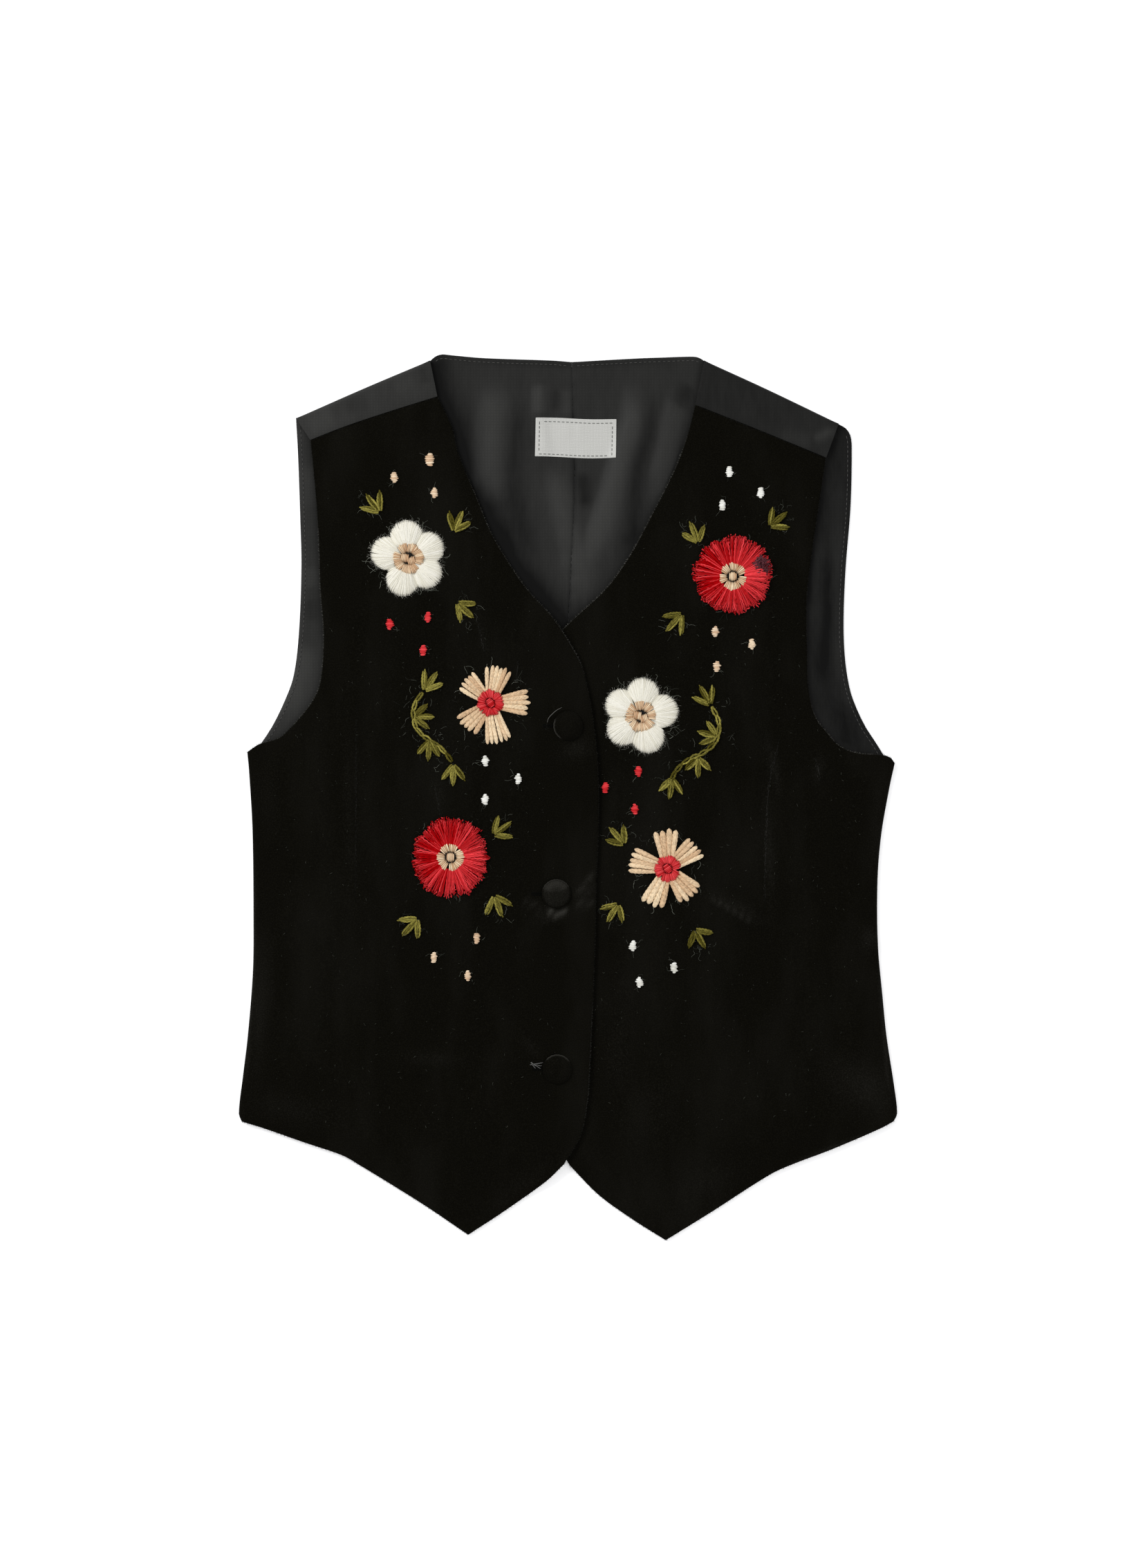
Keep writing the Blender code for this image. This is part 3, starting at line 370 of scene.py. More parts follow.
def add_piece(name, mesh, material, replaced=()):
    """Links a piece, with its finish, its body and the solids that it stands for."""
    made = bpy.data.objects.new(name, mesh)
    bpy.context.scene.collection.objects.link(made)
    mesh.materials.append(material)
    mesh.shade_smooth()
    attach(made, "root")
    if replaced:
        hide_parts(*replaced)
    return made


def thicken(made, walls, wall, offset):
    """Gives cloth its thickness; walls are shares of the full wall, point by point."""
    group = made.vertex_groups.new(name="wall")
    for share in np.unique(walls):
        group.add([int(k) for k in np.flatnonzero(walls == share)], float(share), "REPLACE")
    shell = made.modifiers.new("cloth", "SOLIDIFY")
    shell.thickness = wall * MM
    shell.offset = offset
    shell.vertex_group = "wall"
    shell.use_even_offset = False
    rounded = made.modifiers.new("soft edge", "BEVEL")
    rounded.width = 0.2 * MM
    rounded.segments = 2
    rounded.limit_method = "ANGLE"
    rounded.angle_limit = math.radians(50)


def back_half(side):
    """One half of the back: its flat part, the fold over the shoulder, and the strip on the front."""
    table = BACKS[side]
    outward = -1.0 if side == "right" else 1.0
    armhole_foot = table["armhole"][0]
    below = [(x - outward * SIDE_INSET, y) for x, y in SIDE_SEAMS[side][1:-1] if y < armhole_foot[1] - 5]
    side_seam = Curve(below + [armhole_foot])
    outer = Joined(side_seam, Curve(table["armhole"]))
    seam = Curve([(x + outward * GAP / 2, y) for x, y in BACK_SEAM])
    fold = Curve(table["fold"])
    neck = Curve(table["neck"][:-1] + [tuple(seam.at(1.0))])
    top = Joined(fold, neck)
    hem = Curve([tuple(side_seam.at(0.0)), (outward * BACK_HEM[0], BACK_HEM[1]), tuple(seam.at(0.0))])
    columns = [0.0] + shares_between(0.0, top.corner, top.length)
    fold_columns = len(columns)
    columns += shares_between(top.corner, 1.0, top.length, NECK_GRID)
    rows = [0.0] + shares_between(0.0, HIDDEN_SHARE, outer.length, HIDDEN_GRID)
    rows += shares_between(HIDDEN_SHARE, 1.0, outer.length)
    u, v = np.meshgrid(columns, rows)
    flat = patch(outer, seam, hem, top, u, v)
    radius = FOLD_HEIGHT / 2
    run = (fold.at(1.0) - fold.at(0.0)) / np.linalg.norm(fold.at(1.0) - fold.at(0.0))
    away = np.array([-run[1], run[0]]) * -outward
    from_ends = np.minimum(np.array(columns), np.maximum(top.corner - np.array(columns), 0.0)) * top.length
    roll = radius * smoothstep(from_ends / ROLL_FADE)
    nearing = np.clip((v - 1.0) * outer.length / ROLL_NEARS + 1.0, 0.0, 1.0) * roll
    flat = flat - nearing[..., None] * away
    from_seam = distance_to(flat, seam.points[::6])
    pucker = 0.5 + 0.5 * np.sin(flat[..., 1] * 0.62 + 1.7 * np.sin(flat[..., 1] * 0.13))
    pucker = SEAM_PUCKER[0] * pucker * np.exp(-(from_seam / SEAM_PUCKER[1]) ** 2)
    height = folds_at(flat, SATIN_FOLDS) + pucker
    height = np.maximum(height - SEAM_GROOVE[1] * np.exp(-(from_seam / SEAM_GROOVE[0]) ** 2), 0.0)
    points = [np.column_stack([row, z]) for row, z in zip(flat, height)]
    rim = np.zeros(u.shape, bool)
    rim[0] = True
    rim[:, 0] = True
    rim[-1, fold_columns:] = True
    walls = [np.where(row, SATIN_EDGE_WALL, 1.0) for row in rim]
    line = fold.at(np.array(columns[:fold_columns]) / top.corner)
    roll = roll[:fold_columns, None]
    for turn in np.linspace(0.0, math.pi, FOLD_STEPS + 1)[1:]:
        row = line + away * roll * (math.sin(turn) - 1.0)
        points.append(np.column_stack([row, np.full(fold_columns, radius * (1.0 - math.cos(turn)))]))
        walls.append(np.ones(fold_columns))
    start = line - away * roll
    end = Curve(SHOULDER_SEAMS[side]).at(np.array(columns[:fold_columns]) / top.corner) + away * GAP
    for share in np.linspace(0.0, 1.0, STRIP_STEPS + 1)[1:]:
        row = start + (end - start) * share
        sink = (1.0 - SATIN_EDGE_WALL) * smoothstep((share - 0.85) / 0.15)
        ease = STRIP_EASE * np.sin(row[:, 0] * 0.21 + 2.0) * math.sin(math.pi * share)
        points.append(np.column_stack([row, FOLD_HEIGHT - sink + ease]))
        walls.append(np.full(fold_columns, SATIN_EDGE_WALL if share == 1.0 else 1.0))
    name = f"satin_back_{side}"
    mesh = grid_mesh(name, points, outward > 0)
    places = np.vstack(points)[:, :2]
    lower = sum(len(row) for row in points[:len(rows)])
    # The satin's colour carries painted sheen and painted shadow, kept at each point for its material.
    painted_sheen_shade = np.interp(places[:, 0], *zip(*BACK_PAINTED_LIGHT))
    painted_sheen_shade[lower:] = np.interp(places[lower:, 0], *zip(*STRIP_PAINTED_LIGHT))
    for line, reach, strength in NECK_PAINTED_SHADOW:
        painted_sheen_shade[:lower] -= strength * np.exp(-(distance_to(places[:lower], np.array(line)) / reach) ** 2)
    painted_sheen_shade += tone_at(places, SATIN_PAINTED_LIGHT)
    keep_values(mesh, "painted_sheen_shade", painted_sheen_shade)
    made = add_piece(name, mesh, lining_satin, [f"back_{side}"])
    thicken(made, np.concatenate(walls), SATIN_WALL, 1.0)
    return made


# Viscose lining satin, woven and calendered: dark and smooth, with painted sheen along the folds and painted
# shadow by the velvet in its colour, and a faint line of warp and weft. Real threads are 0.1 mm apart; the
# lines are drawn 1.4 mm apart to show.
SATIN_LINES = 1.382
SATIN_BANDS = math.pi / 10 / (SATIN_LINES * MM)
lining_satin, tree, shader = new_material("calendered_viscose_lining_satin", {
    "Roughness": 0.5, "IOR": 1.5, "Specular IOR Level": 0.09, "Sheen Weight": 0.02, "Sheen Roughness": 0.4,
    "Sheen Tint": linear("#8a8884")})
place = add_node(tree, "ShaderNodeTexCoord")
drawn_out = add_node(tree, "ShaderNodeMapping", None, {
    "Vector": place.outputs["Object"], "Scale": (1.0, 0.22, 1.0)})
cloudy = add_node(tree, "ShaderNodeTexNoise", None, {
    "Vector": drawn_out.outputs[0], "Scale": 260.0, "Detail": 5.0, "Roughness": 0.7})
painted_sheen_shade = add_node(tree, "ShaderNodeAttribute", {"attribute_name": "painted_sheen_shade"})
warp = add_node(tree, "ShaderNodeTexWave", {"bands_direction": "X"}, {
    "Vector": place.outputs["Object"], "Scale": SATIN_BANDS, "Distortion": 2.0, "Detail": 2.0,
    "Detail Scale": 3.0})
weft = add_node(tree, "ShaderNodeTexWave", {"bands_direction": "Y"}, {
    "Vector": place.outputs["Object"], "Scale": SATIN_BANDS, "Distortion": 2.0, "Detail": 2.0,
    "Detail Scale": 3.0})
threads = add_node(tree, "ShaderNodeMath", {"operation": "MULTIPLY"}, {
    0: warp.outputs["Fac"], 1: weft.outputs["Fac"]})
# The tone from near black to mid grey follows the painted sheen and shade, clouded by a random tone.
clouded = add_node(tree, "ShaderNodeMath", {"operation": "MULTIPLY_ADD"}, {
    0: cloudy.outputs["Fac"], 1: 0.3, 2: painted_sheen_shade.outputs["Fac"]})
share = add_node(tree, "ShaderNodeMapRange", None, {
    "Value": clouded.outputs[0], "From Min": 0.15, "From Max": 1.15})
tone = add_node(tree, "ShaderNodeMix", {"data_type": "RGBA"}, {
    "Factor": share.outputs[0], 6: linear("#070706"), 7: linear("#3d3d3b")})
woven = add_node(tree, "ShaderNodeMix", {"data_type": "RGBA", "blend_type": "MULTIPLY"}, {
    "Factor": 0.16, 6: tone.outputs[2], 7: threads.outputs[0]})
tree.links.new(woven.outputs[2], shader.inputs["Base Color"])
weave_bump = add_node(tree, "ShaderNodeBump", None, {
    "Height": threads.outputs[0], "Strength": 0.15, "Distance": 0.00006})
tree.links.new(weave_bump.outputs["Normal"], shader.inputs["Normal"])

backs = {side: back_half(side) for side in BACKS}


class Surface:
    """The top of laid cloth, for what is sewn on it, read from above by rays."""

    def __init__(self, pieces):
        graph = bpy.context.evaluated_depsgraph_get()
        graph.update()
        self.trees = [BVHTree.FromObject(piece, graph) for piece in pieces]

    def height(self, x, y):
        above, down = Vector((x * MM, y * MM, 0.1)), Vector((0.0, 0.0, -1.0))
        hits = [tree.ray_cast(above, down)[0] for tree in self.trees]
        tops = [hit.z / MM for hit in hits if hit is not None]
        return max(tops) if tops else SATIN_WALL

    def over(self, places):
        return np.array([self.height(x, y) for x, y in places])


satin_top = Surface(backs.values())


def add_yarns(name, lines, radii, tones, material, replaced=(), *,
              sides=6, flat=1.0, plies=0, pitch=2.6, bite=0.0):
    """Adds yarns as one piece. Lines are (yarn, step, xyz) and radii (yarn, step), in millimetres. A yarn of
    several plies has a furrow between them that winds once in a pitch. Its mesh keeps its tone for the material,
    the length along it and the way round it."""
    lines = np.asarray(lines, float)
    count, steps, _ = lines.shape
    radii = np.broadcast_to(np.asarray(radii, float), (count, steps))
    tones = np.asarray(tones, float).reshape(count, -1)
    along = np.gradient(lines, axis=1)
    along /= np.linalg.norm(along, axis=2, keepdims=True) + 1e-9
    overall = lines[:, -1] - lines[:, 0]
    overall = overall / (np.linalg.norm(overall, axis=1, keepdims=True) + 1e-9)
    heading = along + 0.25 * overall[:, None]
    side = np.stack([-heading[..., 1], heading[..., 0], np.zeros((count, steps))], axis=-1)
    side /= np.linalg.norm(side, axis=2, keepdims=True) + 1e-9
    up = np.cross(along, side)
    length = np.concatenate([np.zeros((count, 1)),
                             np.cumsum(np.linalg.norm(np.diff(lines, axis=1), axis=2), axis=1)], axis=1)
    turn = np.arange(sides) / sides * 2 * math.pi - math.pi / 2
    shape = np.ones((count, steps, sides))
    if plies:
        phase = plies * turn[None, None] - 2 * math.pi * plies * length[..., None] / pitch
        shape = 1.0 - bite * (0.5 + 0.5 * np.cos(phase + tones[:, :1, None] * 17.0)) ** 2
    spread = shape * radii[..., None]
    ring = (lines[:, :, None] + (spread * np.cos(turn))[..., None] * side[:, :, None]
            + (spread * np.sin(turn) * flat)[..., None] * up[:, :, None])
    verts = ring.reshape(-1, 3) * MM
    first = np.arange(count)[:, None, None] * steps * sides + np.arange(steps - 1)[None, :, None] * sides
    j = np.arange(sides)[None, None]
    quads = np.stack([first + j, first + (j + 1) % sides, first + sides + (j + 1) % sides, first + sides + j],
                     axis=-1).reshape(-1, 4)
    ends = []
    for k in range(count):
        base = k * steps * sides
        ends.append(tuple(range(base + sides - 1, base - 1, -1)))
        ends.append(tuple(range(base + (steps - 1) * sides, base + steps * sides)))
    mesh = bpy.data.meshes.new(name)
    mesh.from_pydata(verts.tolist(), [], quads.tolist() + ends)
    for label, values in (("tone", tones[..., None]), ("along", length[..., None]),
                          ("round", np.arange(sides) / sides)):
        keep_values(mesh, label, np.broadcast_to(values, (count, steps, sides)))
    return add_piece(name, mesh, material, replaced)


# Topstitching and the pressed seam of the back: grey spun polyester thread in stitches 2.3 mm apart, 2 mm
# inside the neck edge and the armholes, over the dent that the row of needle holes makes, drawn as painted
# shade.
STITCH_LENGTH = 2.3
STITCH_SHARE = 0.62
TOPSTITCH_INSET = 2.0
THREAD_RADIUS = 0.16
DENT_RADIUS = 0.2
# The pieces of the seam that show lie above and below the label
UNDER_LABEL = (162.0, 185.0)
ALLOWANCE_STEPS = 80

# Spun polyester thread: grey and slightly hairy, a little paler than the satin. The dents are near-black tubes
# of painted shade.
sewing_thread, _, _ = new_material("grey_spun_polyester_thread", {
    "Base Color": linear("#3c3b38"), "Roughness": 0.6})
needle_dent, _, _ = new_material("shaded_needle_holes", {"Base Color": linear("#070706"), "Roughness": 0.9})


def running_stitches(line, surface, length=STITCH_LENGTH, share=STITCH_SHARE, lift=0.12):
    """Centre lines of a row of stitches along a line of points, each an arch with sunken ends."""
    steps = length_along(line)
    stitches = []
    for k in range(int(steps[-1] // length)):
        where = np.linspace(k * length, (k + share) * length, 5)
        flat = np.stack([np.interp(where, steps, line[:, n]) for n in (0, 1)], axis=-1)
        rise = np.array([-0.15, lift * 0.8, lift, lift * 0.8, -0.15])
        stitches.append(np.column_stack([flat, surface.over(flat) + rise]))
    return stitches


def ahead_and_right(line):
    """Unit vectors along a line and to its right, at each of its points."""
    ahead = np.gradient(line, axis=0)
    ahead /= np.linalg.norm(ahead, axis=1, keepdims=True)
    return ahead, np.stack([ahead[:, 1], -ahead[:, 0]], axis=-1)


def inset_line(points, distance):
    """A smooth line a distance to the right of a table's points, with a point for each millimetre."""
    curve = Curve(points)
    line = curve.at(np.linspace(0.0, 1.0, int(curve.length) + 2))
    return line + ahead_and_right(line)[1] * distance


draw = random.Random(5)
rows = [inset_line(BACKS["right"]["armhole"], TOPSTITCH_INSET)[3:-3],
        inset_line(BACKS["left"]["armhole"], -TOPSTITCH_INSET)[3:-6],
        inset_line(BACKS["right"]["neck"], TOPSTITCH_INSET)[2:],
        inset_line(BACKS["left"]["neck"], -TOPSTITCH_INSET)[2:]]
stitches, dents = [], []
for row in rows:
    stitches += running_stitches(row, satin_top)
    dents += running_stitches(row, satin_top, 2.0, 1.02, -0.02)
tones = [draw.random() for _ in stitches]
add_yarns("back_topstitching", stitches, THREAD_RADIUS, tones, sewing_thread, sides=5)
seam_line = Curve(BACK_SEAM[2:]).points
for part in (seam_line[seam_line[:, 1] < UNDER_LABEL[0]], seam_line[seam_line[:, 1] > UNDER_LABEL[1]]):
    dents += running_stitches(part, satin_top, 3.0, 0.7, 0.0)
add_yarns("back_needle_dents", dents, DENT_RADIUS, [0.5] * len(dents), needle_dent,
          sides=5, flat=0.7)
# The seam's allowance fills the gap between the two halves, and its middle stays clear of the table. It is drawn
# in the near-black of the painted shade in the dents.
allowance = Curve(BACK_SEAM[1:]).at(np.linspace(0.0, 1.0, ALLOWANCE_STEPS))
middle = np.maximum(satin_top.over(allowance + [0.4, 0.0]) - SATIN_WALL / 2, 0.35)
lines = np.column_stack([allowance, middle])[None]
add_yarns("back_seam_allowance", lines, GAP / 2, [0.5], needle_dent, flat=2.0)


# The label: a plain length of grey woven ribbon with turned ends, laid over the centre seam below the neck
# and sewn down flat all round. The row of stitches pulls a shallow groove into it.
LABEL_SIZE = (39.0, 18.7)
LABEL_GRID = (32, 16)
LABEL_WALL = 0.5
LABEL_CENTRE = (3.7, 173.4)
LABEL_LEAN = -1.2
LABEL_LIFT = 0.5
LABEL_STITCH_INSET = 1.9
LABEL_FOOT_INSET = 1.1
RIBBON_BANDS = 430.0

# Woven polyester ribbon: fine ribs and a soft sheen. Real ribs are about 0.2 mm apart; they are drawn 0.7 mm
# apart to show.
woven_ribbon, tree, shader = new_material("woven_polyester_ribbon", {
    "Roughness": 0.5, "Sheen Weight": 0.25, "Sheen Roughness": 0.4, "Specular IOR Level": 0.5})
place = add_node(tree, "ShaderNodeTexCoord")
ribs = add_node(tree, "ShaderNodeTexWave", {"bands_direction": "Y"}, {
    "Vector": place.outputs["Object"], "Scale": RIBBON_BANDS, "Distortion": 4.0, "Detail": 2.0})
picks = add_node(tree, "ShaderNodeTexWave", {"bands_direction": "X"}, {
    "Vector": place.outputs["Object"], "Scale": RIBBON_BANDS, "Distortion": 2.0, "Detail": 1.0})
crossing = add_node(tree, "ShaderNodeMath", {"operation": "MULTIPLY"}, {
    0: ribs.outputs["Fac"], 1: picks.outputs["Fac"]})
ribbon_tone = add_node(tree, "ShaderNodeMix", {"data_type": "RGBA"}, {
    "Factor": crossing.outputs[0], 6: linear("#b0b0ab"), 7: linear("#cdcdc8")})
tree.links.new(ribbon_tone.outputs[2], shader.inputs["Base Color"])
ribbon_bump = add_node(tree, "ShaderNodeBump", None, {
    "Height": crossing.outputs[0], "Strength": 0.35, "Distance": 0.0001})
tree.links.new(ribbon_bump.outputs["Normal"], shader.inputs["Normal"])


def label_place(share_x, share_y):
    """A place on the label, from shares of its width and height, with its slight lean and worn edges."""
    lean = math.radians(LABEL_LEAN)
    dx = (share_x - 0.5) * LABEL_SIZE[0]
    dy = (share_y - 0.5) * LABEL_SIZE[1] + 0.2 * np.sin(share_x * 7.0)
    dy = dy + (1 - share_y) * (1.2 * (share_x - 0.5) ** 2 - 0.2)
    x = LABEL_CENTRE[0] + dx * math.cos(lean) - dy * math.sin(lean)
    y = LABEL_CENTRE[1] + dx * math.sin(lean) + dy * math.cos(lean)
    return np.stack([x, y], axis=-1)


rows = []
across = np.linspace(0.0, 1.0, LABEL_GRID[0])
for share_y in np.linspace(0.0, 1.0, LABEL_GRID[1]):
    flat = label_place(across, share_y)
    inward = np.minimum(np.minimum(across, 1 - across) * LABEL_SIZE[0],
                        min(share_y, 1 - share_y) * LABEL_SIZE[1])
    seam_dip = 0.22 * np.exp(-((inward - LABEL_STITCH_INSET) / 0.7) ** 2)
    rows.append(np.column_stack([flat, satin_top.over(flat) + LABEL_LIFT - seam_dip]))
mesh = grid_mesh("woven_label", rows, False)
label = add_piece("woven_label", mesh, woven_ribbon, ["label"])
thicken(label, np.ones(LABEL_GRID[0] * LABEL_GRID[1]), LABEL_WALL, -1.0)
label_top = Surface([label])
inset_x, inset_y = LABEL_STITCH_INSET / LABEL_SIZE[0], LABEL_STITCH_INSET / LABEL_SIZE[1]
foot = LABEL_FOOT_INSET / LABEL_SIZE[1]
corners = [(inset_x, foot), (1 - inset_x, foot), (1 - inset_x, 1 - inset_y), (inset_x, 1 - inset_y)]
stitches = []
for (ax, ay), (bx, by) in zip(corners, corners[1:] + corners[:1]):
    line = label_place(np.linspace(ax, bx, 40), np.linspace(ay, by, 40))
    stitches += running_stitches(line, label_top, 2.1, 0.7, 0.1)
label_thread, _, _ = new_material("grey_sewing_thread", {"Base Color": linear("#5c5d5a"), "Roughness": 0.7})
tones = [draw.random() for _ in stitches]
add_yarns("label_stitching", stitches, THREAD_RADIUS, tones, label_thread, sides=5)


# The fronts: black cotton velvet, cut to a point at the hem and darted under the arm, with turned edges.
# The wearer's right one laps over the left one by the width of the button stand, and lifts where it does.
# Long shallow creases show how it was folded; lighter patches of painted sheen mark where the pile is rubbed and
# catches the light.
# The slack cloth's crown: its height, where it starts from the free edge, and how far it takes to rise
CROWN = 1.2
CROWN_STARTS = 26.0
CROWN_REACH = 45.0
# The upper front's lift over the lower one, which starts outside the lower one's edge and is full inside it
OVERLAP_LIFT = VELVET_WALL + GAP + 0.2
OVERLAP_RAMP = 28.0
OVERLAP_FLAT = 8.0
# The hem's points sink towards the table
POINT_DROP = 1.4
POINT_DROP_STARTS = 165.0
POINT_DROP_REACH = 30.0
# Turned edges: the length that rolls down, and what a free edge loses in height and in wall
EDGE_ROLL = 2.6
VELVET_EDGE_DROP = 0.5
VELVET_EDGE_WALL = 0.5
SIDE_ROLL_FADE = 10.0
DEEPEST_CREASE = -0.25
# Spacing of the points: rows near both ends, rows between them, and the span that the hem's columns divide
EDGE_ROWS = [0.0, 0.3, 0.8, 1.5, 2.4, 4.0]
VELVET_ROW = 2.9
HEM_SPAN = 330.0
FRONTS = {
    "right": {
        "armhole": [(-154.7, 21.8), (-148.9, 25.7), (-139.6, 28.6), (-133.7, 33.8), (-125.6, 43.2),
                    (-120.8, 51.4), (-118.7, 61.9), (-118.0, 79.6), (-119.6, 100.8), (-120.7, 132.8),
                    (-122.9, 159.4), (-124.2, 172.1)],
        "opening": [(-1.9, -176.9), (6.0, -163.1), (9.4, -146.6), (10.4, -132.2), (12.1, -95.9),
                    (13.2, -66.6), (13.8, -37.2), (14.8, -13.9), (14.4, 16.4), (12.1, 37.4), (10.4, 48.1),
                    (6.6, 63.4), (0.9, 74.4), (-7.6, 87.1), (-19.2, 99.8), (-28.9, 113.8), (-36.9, 127.4),
                    (-43.6, 143.4), (-53.2, 166.8), (-55.9, 178.4), (-62.9, 193.1)],
        "hem_outer": [(-157.6, -156.4), (-146.5, -159.8), (-127.0, -166.6), (-108.6, -172.9), (-99.9, -177.9),
                      (-84.7, -187.2), (-67.3, -198.2), (-48.2, -211.2)],
        "hem_inner": [(-48.2, -211.2), (-30.5, -199.6), (-10.9, -185.5), (-1.9, -176.9)],
    },
    "left": {
        "armhole": [(157.6, 16.4), (154.7, 19.8), (138.9, 21.6), (130.7, 25.1), (124.9, 31.5), (119.6, 38.5),
                    (116.1, 51.1), (115.4, 68.5), (115.1, 96.1), (117.7, 118.2), (121.8, 146.1),
                    (124.4, 163.6)],
        "opening": [(0.8, -177.6), (-7.2, -163.2), (-10.6, -146.6), (-11.6, -132.2), (-13.2, -95.9),
                    (-15.9, -15.6), (-15.6, 37.8), (-14.9, 51.1), (-12.6, 65.8), (-7.2, 75.8), (1.6, 85.1),
                    (18.1, 100.5), (29.3, 115.9), (41.4, 138.2), (51.4, 158.1), (58.0, 175.8), (61.3, 189.1)],
        "hem_outer": [(157.4, -156.2), (149.8, -160.2), (126.4, -170.2), (108.8, -176.9), (97.8, -181.9),
                      (70.1, -199.6), (47.2, -213.8)],
        "hem_inner": [(47.2, -213.8), (31.4, -203.9), (14.8, -191.9), (0.8, -177.6)],
    },
}
# Folds and creases: points, half width, height
VELVET_FOLDS = {
    "right": [
        ([(-101.9, 50.0), (-102.5, -56.0)], 7.0, -0.6), ([(-101.9, 48.0), (-102.3, -54.0)], 1.8, -0.9),
        ([(-28.0, -110.0), (-14.0, -127.0)], 5.0, 0.6), ([(-65.0, 10.0), (-61.0, -11.0)], 5.0, 0.6),
        ([(-86.0, -128.0), (-52.0, -132.0)], 9.0, 0.7), ([(-44.0, 88.0), (-40.0, 67.0)], 3.5, 0.7),
        ([(-24.0, 68.0), (-25.5, 54.0)], 3.5, 0.6), ([(0.5, -49.0), (7.0, -46.0), (14.0, -41.0)], 3.5, 1.0),
        ([(-16.0, -55.0), (-9.0, -59.0), (-2.0, -61.0)], 3.5, 0.8), ([(-5.0, 26.0), (12.0, 18.0)], 6.0, 0.6),
        ([(-10.5, 33.0), (-9.0, 41.0), (-3.0, 45.0)], 1.6, 0.8),
        ([(-133.0, -19.0), (-152.0, -29.0)], 6.0, 0.8), ([(-40.0, -148.0), (-28.0, -190.0)], 8.0, 0.6),
        ([(-110.0, 152.0), (-100.0, 88.0)], 9.0, -0.4), ([(-143.0, -60.0), (-128.0, -140.0)], 9.0, 0.6),
    ],
    "left": [
        ([(102.0, 31.0), (96.5, 3.0), (94.5, -60.0)], 7.0, -0.7),
        ([(101.8, 30.0), (96.6, 3.0), (94.6, -58.0)], 1.8, -1.0),
        ([(64.0, -46.0), (94.0, -63.0)], 5.0, 1.2), ([(118.5, 22.0), (121.5, 7.0)], 4.0, 1.0),
        ([(126.0, -126.0), (154.0, -152.0)], 10.0, 1.0), ([(20.0, -90.0), (30.0, -150.0)], 9.0, 0.7),
        ([(139.0, -63.0), (151.0, -73.0)], 3.5, 1.0), ([(138.0, -71.0), (150.0, -81.0)], 3.0, -0.8),
        ([(100.0, 152.0), (104.0, 94.0)], 9.0, -0.5), ([(60.0, -138.0), (74.0, -180.0)], 9.0, 0.6),
    ],
}
# Lines of painted sheen along turned edges and creases, where rubbed pile catches the light: points, half width,
# strength
SHEEN_WEAR_LINES = {
    "right": [
        ([(-11.6, -52.3), (-6.0, -56.4), (1.4, -54.0)], 2.0, 1.0), ([(3.2, -48.0), (13.4, -35.0)], 1.6, 0.5),
        ([(2.7, -52.4), (13.6, -50.0)], 2.2, 0.5), ([(-23.0, -49.6), (-11.6, -53.4)], 2.2, 0.4),
        ([(-156.0, -150.0), (-152.0, -84.0), (-152.0, -20.0)], 1.6, 0.4),
        ([(-154.0, -158.0), (-108.0, -174.0), (-50.0, -209.0)], 1.2, 0.3),
    ],
    "left": [
        ([(66.0, -47.0), (92.0, -62.0)], 1.4, 0.5), ([(155.0, -148.0), (150.0, -80.0)], 1.4, 0.4),
        ([(154.0, -158.0), (108.0, -177.0), (50.0, -212.0)], 1.2, 0.35),
    ],
}
# Patches of painted sheen where the pile is rubbed and catches the light: x, y, half width across, half width
# up, lean in degrees, strength
SHEEN_WEAR_PATCHES = {
    "right": [
        (4.0, 23.0, 9.0, 5.0, 20.0, 0.28), (-8.0, -57.0, 7.0, 3.0, 12.0, 0.4),
        (9.0, -45.0, 6.0, 3.0, 25.0, 0.3), (-149.0, -104.0, 6.0, 40.0, -4.0, 0.25),
        (-134.0, -150.0, 22.0, 8.0, -14.0, 0.2), (-66.0, -126.0, 16.0, 4.0, -3.0, 0.23),
        (-18.0, -120.0, 8.0, 3.0, -45.0, 0.23), (-145.0, 0.0, 6.0, 20.0, 3.0, 0.15),
        (-62.0, 0.0, 3.0, 10.0, 8.0, 0.2), (-41.0, 78.0, 2.5, 9.0, 12.0, 0.2),
        (-20.0, -186.0, 16.0, 6.0, 38.0, 0.17), (-106.0, -4.0, 2.5, 50.0, 1.0, 0.17),
    ],
    "left": [
        (140.0, -138.0, 20.0, 13.0, -35.0, 0.3), (24.0, -120.0, 9.0, 28.0, -8.0, 0.17),
        (82.0, -53.0, 17.0, 3.5, -28.0, 0.25), (121.0, 14.0, 2.5, 8.0, -14.0, 0.3),
        (99.0, 15.0, 2.5, 14.0, 12.0, 0.3), (97.0, -28.0, 2.5, 28.0, 2.0, 0.25),
        (66.0, -186.0, 20.0, 8.0, 28.0, 0.17), (146.0, -68.0, 6.0, 6.0, 0.0, 0.3),
        (150.0, -20.0, 5.0, 26.0, 2.0, 0.15), (40.0, -150.0, 12.0, 18.0, -10.0, 0.15),
    ],
}
# Sections across a velvet edge, from the edge inwards: distance, height, share of the wall
ROLLED_SIDE = [(0.0, 0.5, 1.0), (0.0, 1.0, 1.0), (0.22, 1.9, 1.0), (0.76, 2.74, 1.0), (1.6, 3.3, 1.0),
               (EDGE_ROLL, FOLD_HEIGHT, 1.0)]
OPEN_EDGE = [(0.0, 2.9, 0.45), (0.12, 3.06, 0.52), (0.4, 3.24, 0.66), (0.8, 3.36, 0.78), (1.6, 3.46, 0.9),
             (EDGE_ROLL, FOLD_HEIGHT, 1.0)]


